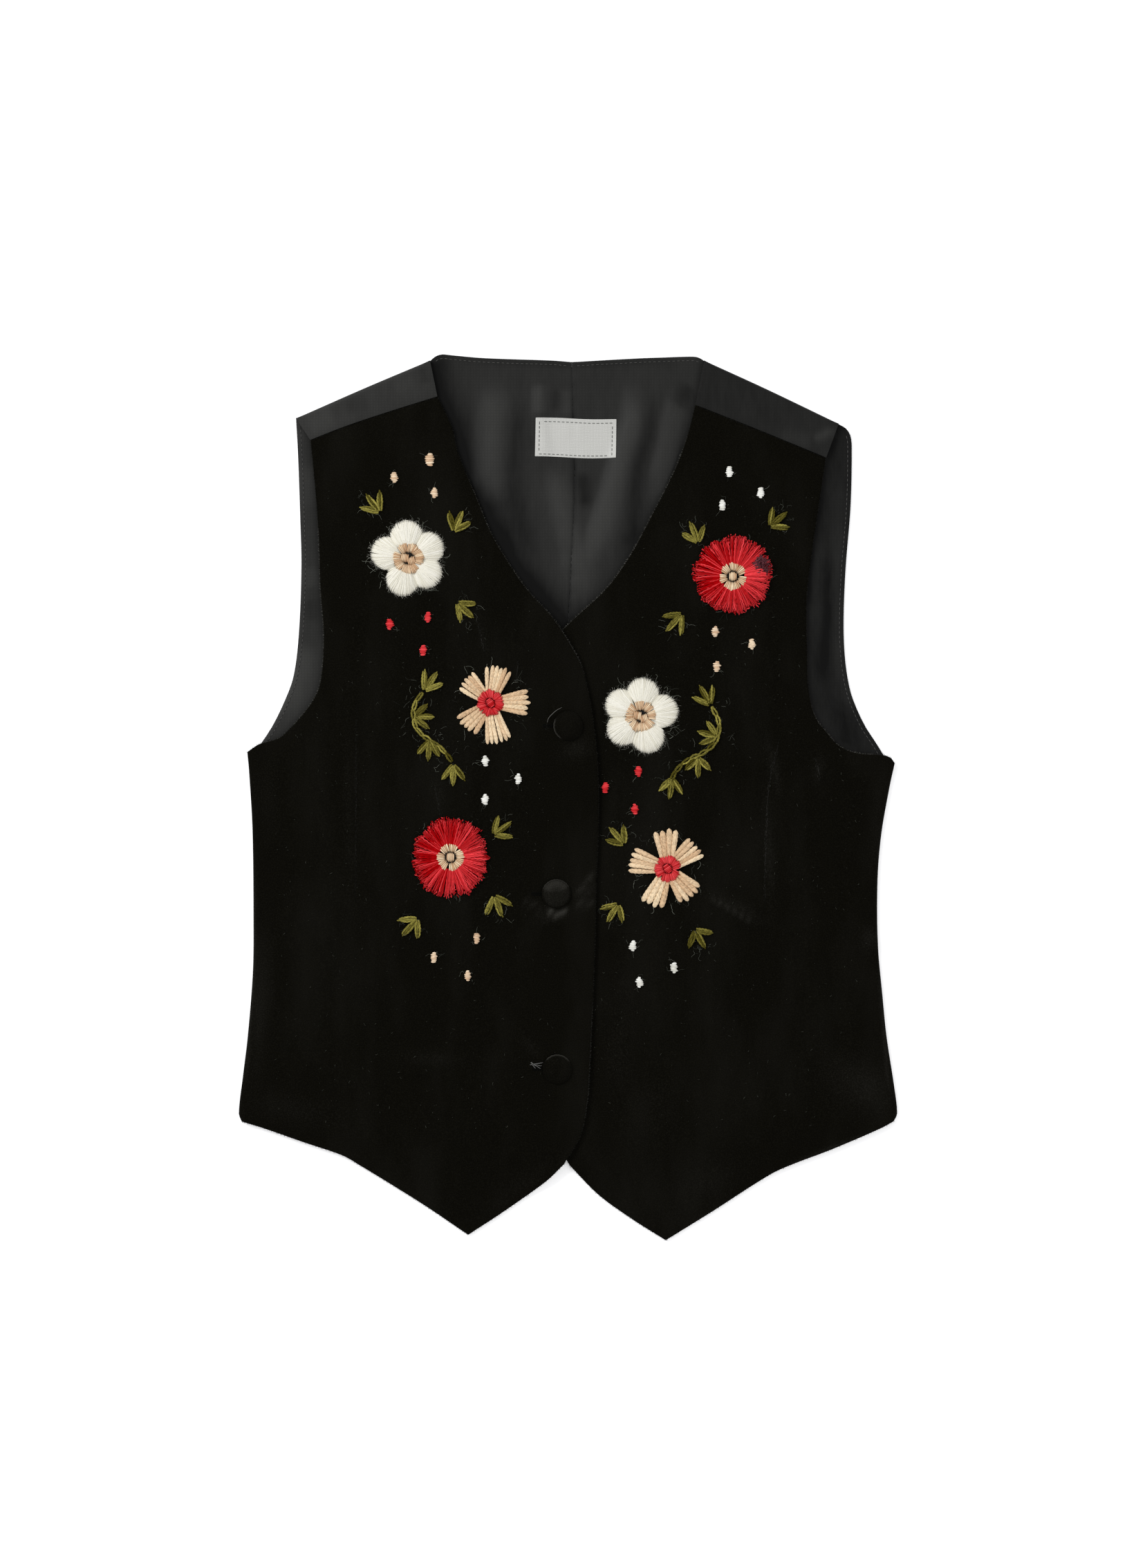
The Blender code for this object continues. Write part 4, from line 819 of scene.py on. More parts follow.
def under_reach(places):
    """How far places lie inside the under front's free edge, in millimetres; it is negative outside."""
    table = FRONTS["left"]
    line = np.array(table["hem_inner"] + table["opening"][1:])
    inside = places[..., 0] > np.interp(places[..., 1], line[:, 1], line[:, 0])
    return np.where(inside, 1.0, -1.0) * distance_to(places, line)


def sheen_wear_at(places, patches):
    """Strength of the painted sheen on the rubbed pile at each place."""
    total = np.zeros(places.shape[:-1])
    for x, y, across, upward, lean, strength in patches:
        c, s = math.cos(math.radians(lean)), math.sin(math.radians(lean))
        dx, dy = places[..., 0] - x, places[..., 1] - y
        reach = ((dx * c + dy * s) / across) ** 2 + ((dy * c - dx * s) / upward) ** 2
        total = np.maximum(total, strength * np.exp(-reach))
    return total


def velvet_front(side):
    """One front: rows run from the hem to the shoulder, columns from the side seam to the free edge."""
    table = FRONTS[side]
    outer = Joined(Curve(SIDE_SEAMS[side]), Curve(table["armhole"]))
    inner = Curve(table["opening"])
    hem = Joined(Curve(table["hem_outer"]), Curve(table["hem_inner"]))
    shoulder = Curve(SHOULDER_SEAMS[side])
    rows = [d / outer.length for d in EDGE_ROWS]
    rows += shares_between(rows[-1], outer.corner, outer.length, VELVET_ROW)
    rows += shares_between(outer.corner, 1 - EDGE_ROWS[-1] / outer.length, outer.length, VELVET_ROW)
    rows += [1 - d / outer.length for d in EDGE_ROWS[-2::-1]]
    rows = np.array(rows)
    width = np.linalg.norm(inner.at(rows) - outer.at(rows), axis=1)
    roll = smoothstep((outer.corner - rows) * outer.length / SIDE_ROLL_FADE)
    middle = np.array(shares_between(0.05, hem.corner, HEM_SPAN) + shares_between(hem.corner, 0.95, HEM_SPAN))
    sections = [(roll[:, None] * np.array(rolled) + (1 - roll[:, None]) * np.array(free))
                for rolled, free in zip(ROLLED_SIDE, OPEN_EDGE)]
    u = [section[:, 0] / width for section in sections]
    first, last = EDGE_ROLL / width, 1 - EDGE_ROLL / width
    u += [first + (last - first) * (m - 0.05) / 0.9 for m in middle[:-1]]
    u += [1 - distance / width for distance, _, _ in OPEN_EDGE[::-1]]
    height = [section[:, 1] for section in sections] + [np.full(len(rows), FOLD_HEIGHT)] * (len(middle) - 1)
    height += [np.full(len(rows), z) for _, z, _ in OPEN_EDGE[::-1]]
    wall = [section[:, 2] for section in sections] + [np.ones(len(rows))] * (len(middle) - 1)
    wall += [np.full(len(rows), share) for _, _, share in OPEN_EDGE[::-1]]
    u, height, wall = (np.stack(values, axis=1) for values in (u, height, wall))
    v = np.broadcast_to(rows[:, None], u.shape)
    flat = patch(outer, inner, hem, shoulder, u, v)
    along = v * outer.length
    crown = (smoothstep(((1 - u) * width[:, None] - CROWN_STARTS) / CROWN_REACH)
             * smoothstep(u * width[:, None] / CROWN_REACH) * smoothstep(along / CROWN_REACH)
             * smoothstep((outer.length - along) / CROWN_REACH))
    free_end = np.maximum(0.0, 1.0 - np.minimum(along, outer.length - along) / EDGE_ROLL) ** 2
    z = height + CROWN * crown + np.maximum(folds_at(flat, VELVET_FOLDS[side]), DEEPEST_CREASE)
    z -= VELVET_EDGE_DROP * free_end * height / FOLD_HEIGHT
    z -= POINT_DROP * smoothstep((-flat[..., 1] - POINT_DROP_STARTS) / POINT_DROP_REACH)
    if side == "right":
        z += OVERLAP_LIFT * smoothstep((under_reach(flat) + OVERLAP_RAMP) / (OVERLAP_RAMP - OVERLAP_FLAT))
    wall = np.minimum(wall, 1.0 - (1.0 - VELVET_EDGE_WALL) * free_end)
    name = f"velvet_front_{side}"
    mesh = grid_mesh(name, [np.column_stack([row, heights]) for row, heights in zip(flat, z)], side == "left")
    # Painted sheen where the pile is rubbed and catches the light, kept at each point for the material.
    sheen_and_wear = np.maximum(sheen_wear_at(flat, SHEEN_WEAR_PATCHES[side]), tone_at(flat, SHEEN_WEAR_LINES[side]))
    keep_values(mesh, "sheen_and_wear", sheen_and_wear)
    made = add_piece(name, mesh, cotton_velvet, [f"front_{side}"])
    thicken(made, wall.ravel(), VELVET_WALL, -1.0)
    return made


# Cotton velvet, woven with a short cut pile: nearly black from straight above, where one looks into the pile,
# with a soft bloom at a slant and a pale painted sheen where it is rubbed. Pile tufts are 0.3 mm; the grain is
# drawn at 0.6 mm.
PILE_GRAIN = 0.6
cotton_velvet, tree, shader = new_material("cut_pile_cotton_velvet", {
    "Roughness": 0.95, "IOR": 1.47, "Specular IOR Level": 0.03, "Sheen Weight": 0.05, "Sheen Roughness": 0.35,
    "Sheen Tint": linear("#9c978a")})
place = add_node(tree, "ShaderNodeTexCoord")
grain = add_node(tree, "ShaderNodeTexNoise", None, {
    "Vector": place.outputs["Object"], "Scale": 1 / (PILE_GRAIN * MM), "Detail": 2.0, "Roughness": 0.6})
stretched = add_node(tree, "ShaderNodeMapping", None, {
    "Vector": place.outputs["Object"], "Scale": (1.0, 0.35, 1.0)})
lay = add_node(tree, "ShaderNodeTexNoise", None, {
    "Vector": stretched.outputs[0], "Scale": 38.0, "Detail": 4.0, "Roughness": 0.55})
sheen_wear = add_node(tree, "ShaderNodeAttribute", {"attribute_name": "sheen_and_wear"})
lay_share = add_node(tree, "ShaderNodeMapRange", None, {
    "Value": lay.outputs["Fac"], "From Min": 0.45, "From Max": 0.8, "To Min": 0.0, "To Max": 0.12})
grain_share = add_node(tree, "ShaderNodeMapRange", None, {
    "Value": grain.outputs["Fac"], "From Min": 0.45, "From Max": 0.75, "To Min": 0.0, "To Max": 0.62})
sheen_wear_grain = add_node(tree, "ShaderNodeMath", {"operation": "MULTIPLY_ADD"}, {
    0: sheen_wear.outputs["Fac"], 1: 0.9, 2: grain_share.outputs[0]})
sheen_wear_only = add_node(tree, "ShaderNodeMath", {"operation": "MULTIPLY"}, {
    0: sheen_wear.outputs["Fac"], 1: sheen_wear_grain.outputs[0]})
bloom = add_node(tree, "ShaderNodeMath", {"operation": "ADD"}, {
    0: sheen_wear_only.outputs[0], 1: lay_share.outputs[0]})
dark_pile = add_node(tree, "ShaderNodeMix", {"data_type": "RGBA"}, {
    "Factor": grain_share.outputs[0], 6: linear("#080704"), 7: linear("#14130e")})
# The pale grey is painted sheen on the rubbed pile, mixed with the pile's random lay.
pile = add_node(tree, "ShaderNodeMix", {"data_type": "RGBA", "clamp_factor": True}, {
    "Factor": bloom.outputs[0], 6: dark_pile.outputs[2], 7: linear("#2e2d29")})
tree.links.new(pile.outputs[2], shader.inputs["Base Color"])
pile_bump = add_node(tree, "ShaderNodeBump", None, {
    "Height": grain.outputs["Fac"], "Strength": 0.5, "Distance": 0.00025})
tree.links.new(pile_bump.outputs["Normal"], shader.inputs["Normal"])

fronts = {side: velvet_front(side) for side in FRONTS}
velvet_top = {side: Surface([piece]) for side, piece in fronts.items()}


# Embroidery wool, spun in two plies and dyed. Its fibres lie along the yarn and wind round it, paler ones
# among darker ones, and painted shade darkens each yarn's sides and underside, where the furrows between yarns
# lie. Real fibres are 0.03 mm thick, and the streaks are drawn 0.3 mm wide.

# Streaks round the yarn, how fast they wind and stretch along it, and how far the yarns' patterns lie apart
STREAKS_ROUND = 13.0
STREAK_WIND = 0.7
STREAK_STRETCH = 0.55
PATTERN_APART = 37.0


def spun_wool(name, dark, light, furrow_shade, fleck, furrow_reach=0.72, sheen=0.15):
    """Yarn that goes from dark to light by its tone, with flecks of fibre and painted shade on its sides and
    underside.
    """
    made, tree, shader = new_material(name, {
        "Roughness": 0.9, "Specular IOR Level": 0.03, "Sheen Weight": sheen, "Sheen Roughness": 0.5,
        "Sheen Tint": linear(light)})
    tone = add_node(tree, "ShaderNodeAttribute", {"attribute_name": "tone"})
    along = add_node(tree, "ShaderNodeAttribute", {"attribute_name": "along"})
    turn = add_node(tree, "ShaderNodeAttribute", {"attribute_name": "round"})
    around = add_node(tree, "ShaderNodeMath", {"operation": "MULTIPLY"}, {
        0: turn.outputs["Fac"], 1: STREAKS_ROUND})
    wound = add_node(tree, "ShaderNodeMath", {"operation": "MULTIPLY_ADD"}, {
        0: along.outputs["Fac"], 1: STREAK_WIND, 2: around.outputs[0]})
    lengthwise = add_node(tree, "ShaderNodeMath", {"operation": "MULTIPLY"}, {
        0: along.outputs["Fac"], 1: STREAK_STRETCH})
    apart = add_node(tree, "ShaderNodeMath", {"operation": "MULTIPLY"}, {
        0: tone.outputs["Fac"], 1: PATTERN_APART})
    fibre_place = add_node(tree, "ShaderNodeCombineXYZ", None, {
        "X": wound.outputs[0], "Y": lengthwise.outputs[0], "Z": apart.outputs[0]})
    fibres = add_node(tree, "ShaderNodeTexNoise", None, {
        "Vector": fibre_place.outputs[0], "Scale": 1.0, "Detail": 2.0, "Roughness": 0.6})
    fibre_share = add_node(tree, "ShaderNodeMapRange", None, {
        "Value": fibres.outputs["Fac"], "From Min": 0.34, "From Max": 0.58})
    dyed = add_node(tree, "ShaderNodeMix", {"data_type": "RGBA"}, {
        "Factor": tone.outputs["Fac"], 6: linear(dark), 7: linear(light)})
    flecked = add_node(tree, "ShaderNodeMix", {"data_type": "RGBA", "blend_type": "MULTIPLY"}, {
        "Factor": fleck, 6: dyed.outputs[2], 7: fibre_share.outputs[0]})
    # Painted shade: the furrow colour on each yarn's sides and underside, by the way round it.
    upward = add_node(tree, "ShaderNodeMath", {"operation": "PINGPONG"}, {0: turn.outputs["Fac"], 1: 0.5})
    lit_share = add_node(tree, "ShaderNodeMapRange", {"interpolation_type": "SMOOTHSTEP"}, {
        "Value": upward.outputs[0], "From Min": 0.12, "From Max": furrow_reach / 2})
    shaded = add_node(tree, "ShaderNodeMix", {"data_type": "RGBA"}, {
        "Factor": lit_share.outputs[0], 6: linear(furrow_shade), 7: flecked.outputs[2]})
    tree.links.new(shaded.outputs[2], shader.inputs["Base Color"])
    fibre_bump = add_node(tree, "ShaderNodeBump", None, {
        "Height": fibres.outputs["Fac"], "Strength": 0.5, "Distance": 0.00012})
    tree.links.new(fibre_bump.outputs["Normal"], shader.inputs["Normal"])
    return made


def laid(surface, flat, rise):
    """Points at a height over the cloth, from plan points and heights."""
    flat = np.asarray(flat, float)
    ground = surface.over(flat.reshape(-1, 2)).reshape(flat.shape[:-1])
    return np.concatenate([flat, (ground + rise)[..., None]], axis=-1)


def facing(angle):
    """Unit vectors at angles in radians."""
    return np.stack([np.cos(angle), np.sin(angle)], axis=-1)


def polar(x, y, radius, angle):
    """Plan points round a centre, from radii in millimetres and angles in radians."""
    return np.array([x, y]) + np.asarray(radius)[..., None] * facing(angle)


def ahead_and_across(heading):
    """Unit vectors along a heading in radians and across it, to its left."""
    ahead = facing(heading)
    return ahead, np.array([-ahead[1], ahead[0]])


def apart_from(angle, other):
    """Difference of angles in radians, from -pi to pi."""
    return (angle - other + math.pi) % (2 * math.pi) - math.pi


# White flowers: soft white wool in satin stitch over padding, five lobes that swell and meet in shallow
# creases. The strands fan out from the heart, and their ends make a finely toothed edge with a halo of fibres.
# Flowers: side, x, y, headings of the lobes in degrees
WHITE_FLOWERS = [
    ("right", -77.0, 115.1, (94.0, 28.0, -38.0, -105.0, 166.0)),
    ("left", 35.1, 39.1, (85.0, 14.0, -71.0, -144.0, 150.0)),
]
LOBE_MIDDLE = 10.6
LOBE_RADIUS = 8.15
LOBE_PAD = 3.0
WHITE_START = 4.2
WHITE_STEPS = 10
# Layers: which one, strands in a lobe, thickness
WHITE_LAYERS = ((0, 34, 1.0), (1, 32, 0.85), (2, 84, 0.26))
HALO_HAIRS = 340
HALO_RADIUS = 0.04

# Soft white wool: barely twisted, so bright all over, with cream painted shade on each strand's sides and
# underside in the creases between strands. Loose fibres look grey.
white_wool = spun_wool("soft_white_embroidery_wool", "#dfdbca", "#f1eee2", "#c9c3b0", 0.12, 0.62, 0.08)
halo_wool = spun_wool("loose_white_fibres", "#3c3b36", "#c4c2b6", "#2a2926", 0.1)


def lobe_end(spread):
    """Reach of a lobe's edge at an angle from its heading, in radians."""
    across = LOBE_MIDDLE * np.sin(spread)
    return LOBE_MIDDLE * np.cos(spread) + np.sqrt(np.maximum(LOBE_RADIUS**2 - across**2, 0.0))


def white_flower(number, side, x, y, headings):
    """Two layers of strands and a thin one of loose ones on top, then the halo round the edge."""
    draw = np.random.default_rng(100 + number)
    share = np.linspace(0.0, 1.0, WHITE_STEPS)
    flats, rises, radii, tones = [], [], [], []
    order = sorted(math.radians(h) for h in headings)
    for k, heading in enumerate(order):
        before = (heading - order[k - 1]) % (2 * math.pi) / 2
        after = (order[(k + 1) % 5] - heading) % (2 * math.pi) / 2
        for layer, count, thick in WHITE_LAYERS:
            spots = np.linspace(-1.0, 1.0, count) + draw.uniform(-0.8, 0.8, count) / count
            turn = np.clip(np.where(spots < 0, spots * before, spots * after), -before, after)
            edge = lobe_end(turn) * draw.uniform(0.98, 1.012, count) * (1.0 if layer < 2 else 0.99)
            inner = WHITE_START + draw.uniform(0.0, 0.6, count) + (layer == 2) * draw.uniform(0.5, 7.0, count)
            start_turn = heading + turn * 0.8 + draw.uniform(-0.04, 0.04, count)
            start = polar(x, y, inner, start_turn)
            end = polar(x, y, edge, heading + turn)
            flat = start[:, None] + (end - start)[:, None] * share[None, :, None]
            run = (end - start) / np.linalg.norm(end - start, axis=1, keepdims=True)
            bend = draw.uniform(-0.22, 0.22, count)[:, None]
            bend = bend * np.sin(share * draw.uniform(3, 6, count)[:, None])
            flat = flat + bend[..., None] * np.stack([-run[:, 1], run[:, 0]], axis=-1)[:, None]
            radius = inner[:, None] + (edge - inner)[:, None] * share
            crease = 1.0 - 0.42 * np.abs(np.where(turn < 0, turn / before, turn / after)) ** 4
            dome = np.sqrt(np.maximum(1.0 - (radius / edge[:, None]) ** 3.2, 0.0)) * crease[:, None]
            sunk = np.interp(radius, [WHITE_START, WHITE_START + 4.5], [0.6, 1.0])
            rises.append(LOBE_PAD * dome * sunk - 0.3 - 0.1 * (layer == 1) + 0.12 * (layer == 2))
            swell = thick * np.interp(share, [0.0, 0.5, 0.85, 1.0], [0.3, 0.42, 0.44, 0.24])
            radii.append(np.broadcast_to(swell, (count, WHITE_STEPS)))
            flats.append(flat)
            tones.append(draw.uniform(0.1, 1.0, count))
    lines = laid(velvet_top[side], np.concatenate(flats), np.concatenate(rises))
    add_yarns(f"white_satin_stitch_{number}", lines, np.concatenate(radii), np.concatenate(tones), white_wool,
              [f"white_flower_{number}"], sides=5, flat=0.9)

    share = np.linspace(0.0, 1.0, 6)
    lobe = draw.integers(0, 5, HALO_HAIRS)
    spread = draw.uniform(-0.62, 0.62, HALO_HAIRS)
    heading = np.array(order)[lobe] + spread
    begin = polar(x, y, lobe_end(spread) * draw.uniform(0.93, 1.0, HALO_HAIRS), heading)
    curl = draw.normal(0, 0.7, (HALO_HAIRS, 1)) * share
    lean = (heading + spread * 0.5 + draw.normal(0.0, 0.6, HALO_HAIRS))[:, None] + curl
    reach = draw.uniform(0.5, 2.2, HALO_HAIRS)[:, None] * share
    flat = begin[:, None] + facing(lean) * reach[..., None]
    rise = np.interp(share, [0, 1], [1.2, 0.2]) * draw.uniform(0.5, 1.3, HALO_HAIRS)[:, None]
    add_yarns(f"white_halo_{number}", laid(velvet_top[side], flat, rise), HALO_RADIUS,
              draw.uniform(0.0, 1.0, HALO_HAIRS) ** 1.5, halo_wool, sides=3)


for number, (side, x, y, headings) in enumerate(WHITE_FLOWERS, 1):
    white_flower(number, side, x, y, headings)


# Tan flowers: five petals of tan yarn in long stitches, four to six side by side. They fan out from the
# heart, the outer ones shorter, and end in separate rounded tips with dark gaps between them.
# Petals: heading in degrees, number of yarns, reach, pitch at the tips
TAN_FLOWERS = [
    ("right", -37.4, 45.4, [(76, 6, 18.3, 2.3), (137, 5, 17.2, 2.4), (223, 5, 17.4, 2.7), (283, 6, 19.8, 2.3),
                            (1, 5, 18.8, 2.75)]),
    ("left", 48.0, -34.4, [(93, 4, 18.9, 3.3), (37, 5, 18.3, 2.6), (-48, 5, 18.1, 2.9), (246, 4, 19.7, 3.25),
                           (166, 5, 18.9, 2.7)]),
]
YARN_SHARE = 0.49
PETAL_START = 4.6
ROOT_PITCH = 0.5
# A yarn's thickness and height, as shares of the full ones, by share of its length
TAN_SHARES = np.concatenate([np.linspace(0.0, 0.84, 21), [0.89, 0.93, 0.96, 0.98, 1.0]])
TAN_MARKS = [0.0, 0.25, 0.42, 0.6, 0.76, 0.87, 0.93, 0.97, 1.0]
TAN_SWELL = np.interp(TAN_SHARES, TAN_MARKS, [0.58, 0.74, 0.86, 0.96, 1.0, 0.95, 0.8, 0.56, 0.24])
TAN_RISE = np.interp(TAN_SHARES, TAN_MARKS, [0.75, 0.95, 1.0, 1.0, 0.92, 0.75, 0.58, 0.42, 0.25])

# Tan wool: firmly twisted in two plies, so each yarn has pale ridges, and brown painted shade along its sides
# and underside.
tan_wool = spun_wool("tan_embroidery_wool", "#cfa982", "#f6deb9", "#3a2612", 0.4, 0.66, 0.1)


def tan_flower(number, side, x, y, petals):
    """Five petals of yarns, which spread from half their pitch at the heart to all of it at their tips."""
    draw = np.random.default_rng(200 + number)
    share = TAN_SHARES
    flats, rises, radii, tones = [], [], [], []
    for heading, count, reach, pitch in petals:
        ahead, across = ahead_and_across(math.radians(heading))
        for k in range(count):
            place = k - (count - 1) / 2
            low = place * pitch * ROOT_PITCH + draw.uniform(-0.1, 0.1)
            high = place * pitch + draw.uniform(-0.25, 0.25)
            length = reach - 0.16 * (place * pitch / 2) ** 2 + draw.uniform(-0.6, 0.6)
            out = PETAL_START + (length - PETAL_START) * share
            aside = low + (high - low) * share + draw.uniform(-0.2, 0.2) * np.sin(share * 3.1)
            flats.append(np.array([x, y]) + out[:, None] * ahead + aside[:, None] * across)
            rises.append(TAN_RISE * draw.uniform(0.85, 1.1))
            radii.append(TAN_SWELL * YARN_SHARE * pitch * draw.uniform(0.92, 1.06))
            tones.append(np.clip(draw.uniform(0.2, 1.0) + 0.25 * share - 0.2, 0.0, 1.0))
    lines = laid(velvet_top[side], np.array(flats), np.array(rises))
    add_yarns(f"tan_long_stitches_{number}", lines, np.array(radii), tones, tan_wool,
              [f"tan_flower_{number}"], sides=10, flat=0.72, plies=2, pitch=3.8, bite=0.15)


for number, (side, x, y, petals) in enumerate(TAN_FLOWERS, 1):
    tan_flower(number, side, x, y, petals)


# Fringe flowers: cut tufts of fine red wool, laid outwards in three tiers from a backing and combed flat.
# The strands are crimped and cling together at the rim, where their cut ends fluff out paler.
# One is felted grey on one side, where it has rubbed.
# Flowers: side, x, y, reach. Outlines: how much taller than wide, and how much longer above than below
FRINGE_FLOWERS = [("right", -56.6, -28.9, 18.9), ("left", 79.4, 106.4, 19.0)]
FRINGE_OUTLINES = [(0.03, 0.0), (0.0, 0.05)]
# Tiers: strands, height at the rim and at the start, share of the reach
FRINGE_TIERS = [(190, 0.5, 1.5, 1.0), (205, 1.1, 2.4, 0.98), (190, 1.7, 3.1, 0.94)]
FRINGE_START = 5.6
TUFTS = 34
CUT_ENDS = 370
# The felted patch: side, x, y, radius
FELTED = ("left", 92.6, 111.6, 3.7)
FELTED_FIBRES = 170
FELTED_RADIUS = 0.17

# Crimped wool, combed out of its plies: deep red between the tufts, with bright pink red painted as highlights
# where ends catch the light.
red_wool = spun_wool("crimped_red_wool", "#ac0208", "#ff4c52", "#400003", 0.35, 0.8, 0.0)
felted_wool = spun_wool("rubbed_felted_wool", "#33171a", "#74434a", "#16070a", 0.3, 0.72, 0.05)


def outline_share(number, angle):
    """Reach of a fringe flower at an angle, as a share of its mean reach."""
    taller, longer = FRINGE_OUTLINES[number - 1]
    return 1.0 + longer * np.sin(angle) - taller * np.cos(2 * angle)


def fringe_flower(number, side, x, y, reach):
    """Three tiers of strands, drawn together in tufts, and the fluffed ends of some of them."""
    draw = np.random.default_rng(300 + number)
    tufts = np.arange(TUFTS) * 2 * math.pi / TUFTS + draw.uniform(-0.07, 0.07, TUFTS)
    tuft_reach = draw.uniform(0.94, 1.03, TUFTS)
    tuft_tone = draw.uniform(-0.15, 0.15, TUFTS)
    share = np.linspace(0.0, 1.0, 11)
    flats, rises, radii, tones = [], [], [], []
    for tier, (count, low, high, length) in enumerate(FRINGE_TIERS):
        start = np.arange(count) * 2 * math.pi / count + draw.uniform(-0.02, 0.02, count)
        nearest = np.argmin(np.abs(apart_from(start[:, None], tufts)), axis=1)
        pull = apart_from(tufts[nearest], start)
        end = start + pull * draw.uniform(0.0, 0.6, count) + draw.normal(0.0, 0.03, count)
        out = reach * length * tuft_reach[nearest] * draw.uniform(0.93, 1.02, count)
        out = out * outline_share(number, end)
        radius = FRINGE_START + (out - FRINGE_START)[:, None] * share
        angle = start[:, None] + (end - start)[:, None] * share**1.5
        crimp = draw.uniform(0.05, 0.26, count)[:, None] * np.sin(
            radius * draw.uniform(1.8, 3.6, count)[:, None] + draw.uniform(0, 6, count)[:, None])
        angle = angle + crimp * share / radius
        flats.append(polar(x, y, radius, angle))
        arch = np.interp(share, [0.0, 0.25, 0.7, 1.0], [high, high, (high * 2 + low) / 3, low])
        loft = draw.uniform(-0.35, 0.45, count)[:, None] * share + crimp * 0.5
        rises.append(arch + loft)
        swell = np.interp(share, [0, 0.5, 0.85, 1], [0.26, 0.36, 0.36, 0.2])
        radii.append(draw.uniform(0.75, 1.15, count)[:, None] * swell)
        shade = draw.uniform(0.0, 1.0, count) ** 3.5 + tuft_tone[nearest]
        # Painted light: upper tiers, strand tips and strands that point to the right, a little below, are
        # lighter.
        shade = shade + 0.1 * tier - 0.12 + 0.2 * np.cos(end + 0.4)
        tones.append(np.clip(shade[:, None] + 0.25 * share**5, 0.0, 1.0))
    around = draw.uniform(0, 2 * math.pi, CUT_ENDS)
    nearest = np.argmin(np.abs(apart_from(around[:, None], tufts)), axis=1)
    rim = reach * tuft_reach[nearest] * outline_share(number, around)
    begin = polar(x, y, rim * draw.uniform(0.78, 1.0, CUT_ENDS), around)
    lean = around + draw.normal(0.0, 0.7, CUT_ENDS)
    lean = lean[:, None] + draw.normal(0.0, 0.6, (CUT_ENDS, 1)) * share
    stray = draw.uniform(0.4, 1.4, CUT_ENDS)[:, None] * share
    flats.append(begin[:, None] + facing(lean) * stray[..., None])
    rises.append(draw.uniform(0.8, 2.4, CUT_ENDS)[:, None] - 0.5 * share)
    radii.append(draw.uniform(0.16, 0.34, CUT_ENDS)[:, None] * np.interp(share, [0, 0.6, 1], [1, 0.9, 0.4]))
    tones.append(draw.uniform(0.0, 1.0, CUT_ENDS)[:, None] ** 1.4 + 0 * share)
    lines = laid(velvet_top[side], np.concatenate(flats), np.concatenate(rises))
    add_yarns(f"red_fringe_{number}", lines, np.concatenate(radii), np.concatenate(tones), red_wool,
              [f"fringe_flower_{number}"], sides=4)


for number, (side, x, y, reach) in enumerate(FRINGE_FLOWERS, 1):
    fringe_flower(number, side, x, y, reach)

side, x, y, spot = FELTED
draw = np.random.default_rng(390)
share = np.linspace(0.0, 1.0, 6)
from_middle = spot * draw.uniform(0, 1, FELTED_FIBRES) ** 0.6
begin = polar(x, y, from_middle, draw.uniform(0, 2 * math.pi, FELTED_FIBRES))
lean = draw.uniform(0, 2 * math.pi, (FELTED_FIBRES, 1)) + draw.normal(0.0, 1.4, (FELTED_FIBRES, 1)) * share
walk = facing(lean) * (draw.uniform(1.0, 3.0, FELTED_FIBRES)[:, None] * share)[..., None]
rise = draw.uniform(2.5, 3.1, FELTED_FIBRES)[:, None] - 0.2 * share
add_yarns("felted_patch", laid(velvet_top[side], begin[:, None] + walk, rise), FELTED_RADIUS,
          draw.uniform(0.0, 1.0, FELTED_FIBRES), felted_wool, sides=5)


# Hearts: small blocks of fine parallel threads in a ring round one or two blocks at the middle, over a dark
# backing that shows between them. White and fringe flowers have tan hearts, tan flowers have red ones.
# Ring: blocks, inner and outer radius, threads, pitch, thread radius. Middle: x, y, turn, threads, length.
# Height: at the middle and at the rim. Lean: of the first flower's ring, and more for each further flower
HEARTS = {
    "white": {"ring": (8, 2.9, 7.6, 6, 0.84, 0.42),
              "middle": [(-1.7, 0.3, 78, 5, 4.0), (1.5, -1.2, 106, 5, 3.9)],
              "height": (1.5, 2.4), "lean": (32.0, 20.0), "fibre": "wool_tan"},
    "tan": {"ring": (9, 2.1, 6.4, 6, 0.7, 0.36), "middle": [(0.0, 0.0, 35, 6, 4.0)],
            "height": (1.3, 1.5), "lean": (5.0, 5.0), "fibre": "wool_red"},
    "fringe": {"ring": (7, 2.7, 6.9, 5, 1.0, 0.49), "middle": [(0.0, 0.0, 88, 5, 4.4)],
               "height": (2.5, 2.9), "lean": (23.0, 9.0), "fibre": "wool_tan"},
}
MIDDLE_PITCH = 0.72
MIDDLE_THREAD = 0.37
# A thread's height over its ground and its thickness, from its inner to its outer end
THREAD_ARCH = np.array([-0.6, 0.3, 0.62, 0.75, 0.7, 0.45, -0.3])
THREAD_SWELL = np.array([0.6, 0.85, 0.95, 1.0, 1.0, 0.95, 0.55])
# The backing: how far it reaches past the middle, its points round, and how far its rim and middle lie below
BACKING_REACH = 1.4
BACKING_POINTS = 24
BACKING_SUNK = (0.8, 0.5)

# Fine wool in two plies, tan or red. Black felt under the tan blocks shows as dark gaps between them; under the
# red blocks a dark red sheet is painted shade for the gaps between their threads.
heart_tan_wool = spun_wool("fine_tan_wool", "#c9a07a", "#f3dcba", "#5c3c24", 0.25, 0.66, 0.1)
heart_red_wool = spun_wool("fine_red_wool", "#bc1218", "#f6565a", "#6c0710", 0.3, 0.76, 0.0)
heart_backing, _, _ = new_material("black_felt_backing", {"Base Color": linear("#0a0908"), "Roughness": 1.0})
red_backing, _, _ = new_material("dark_red_painted_shade_backing", {"Base Color": linear("#5a060e"), "Roughness": 1.0})


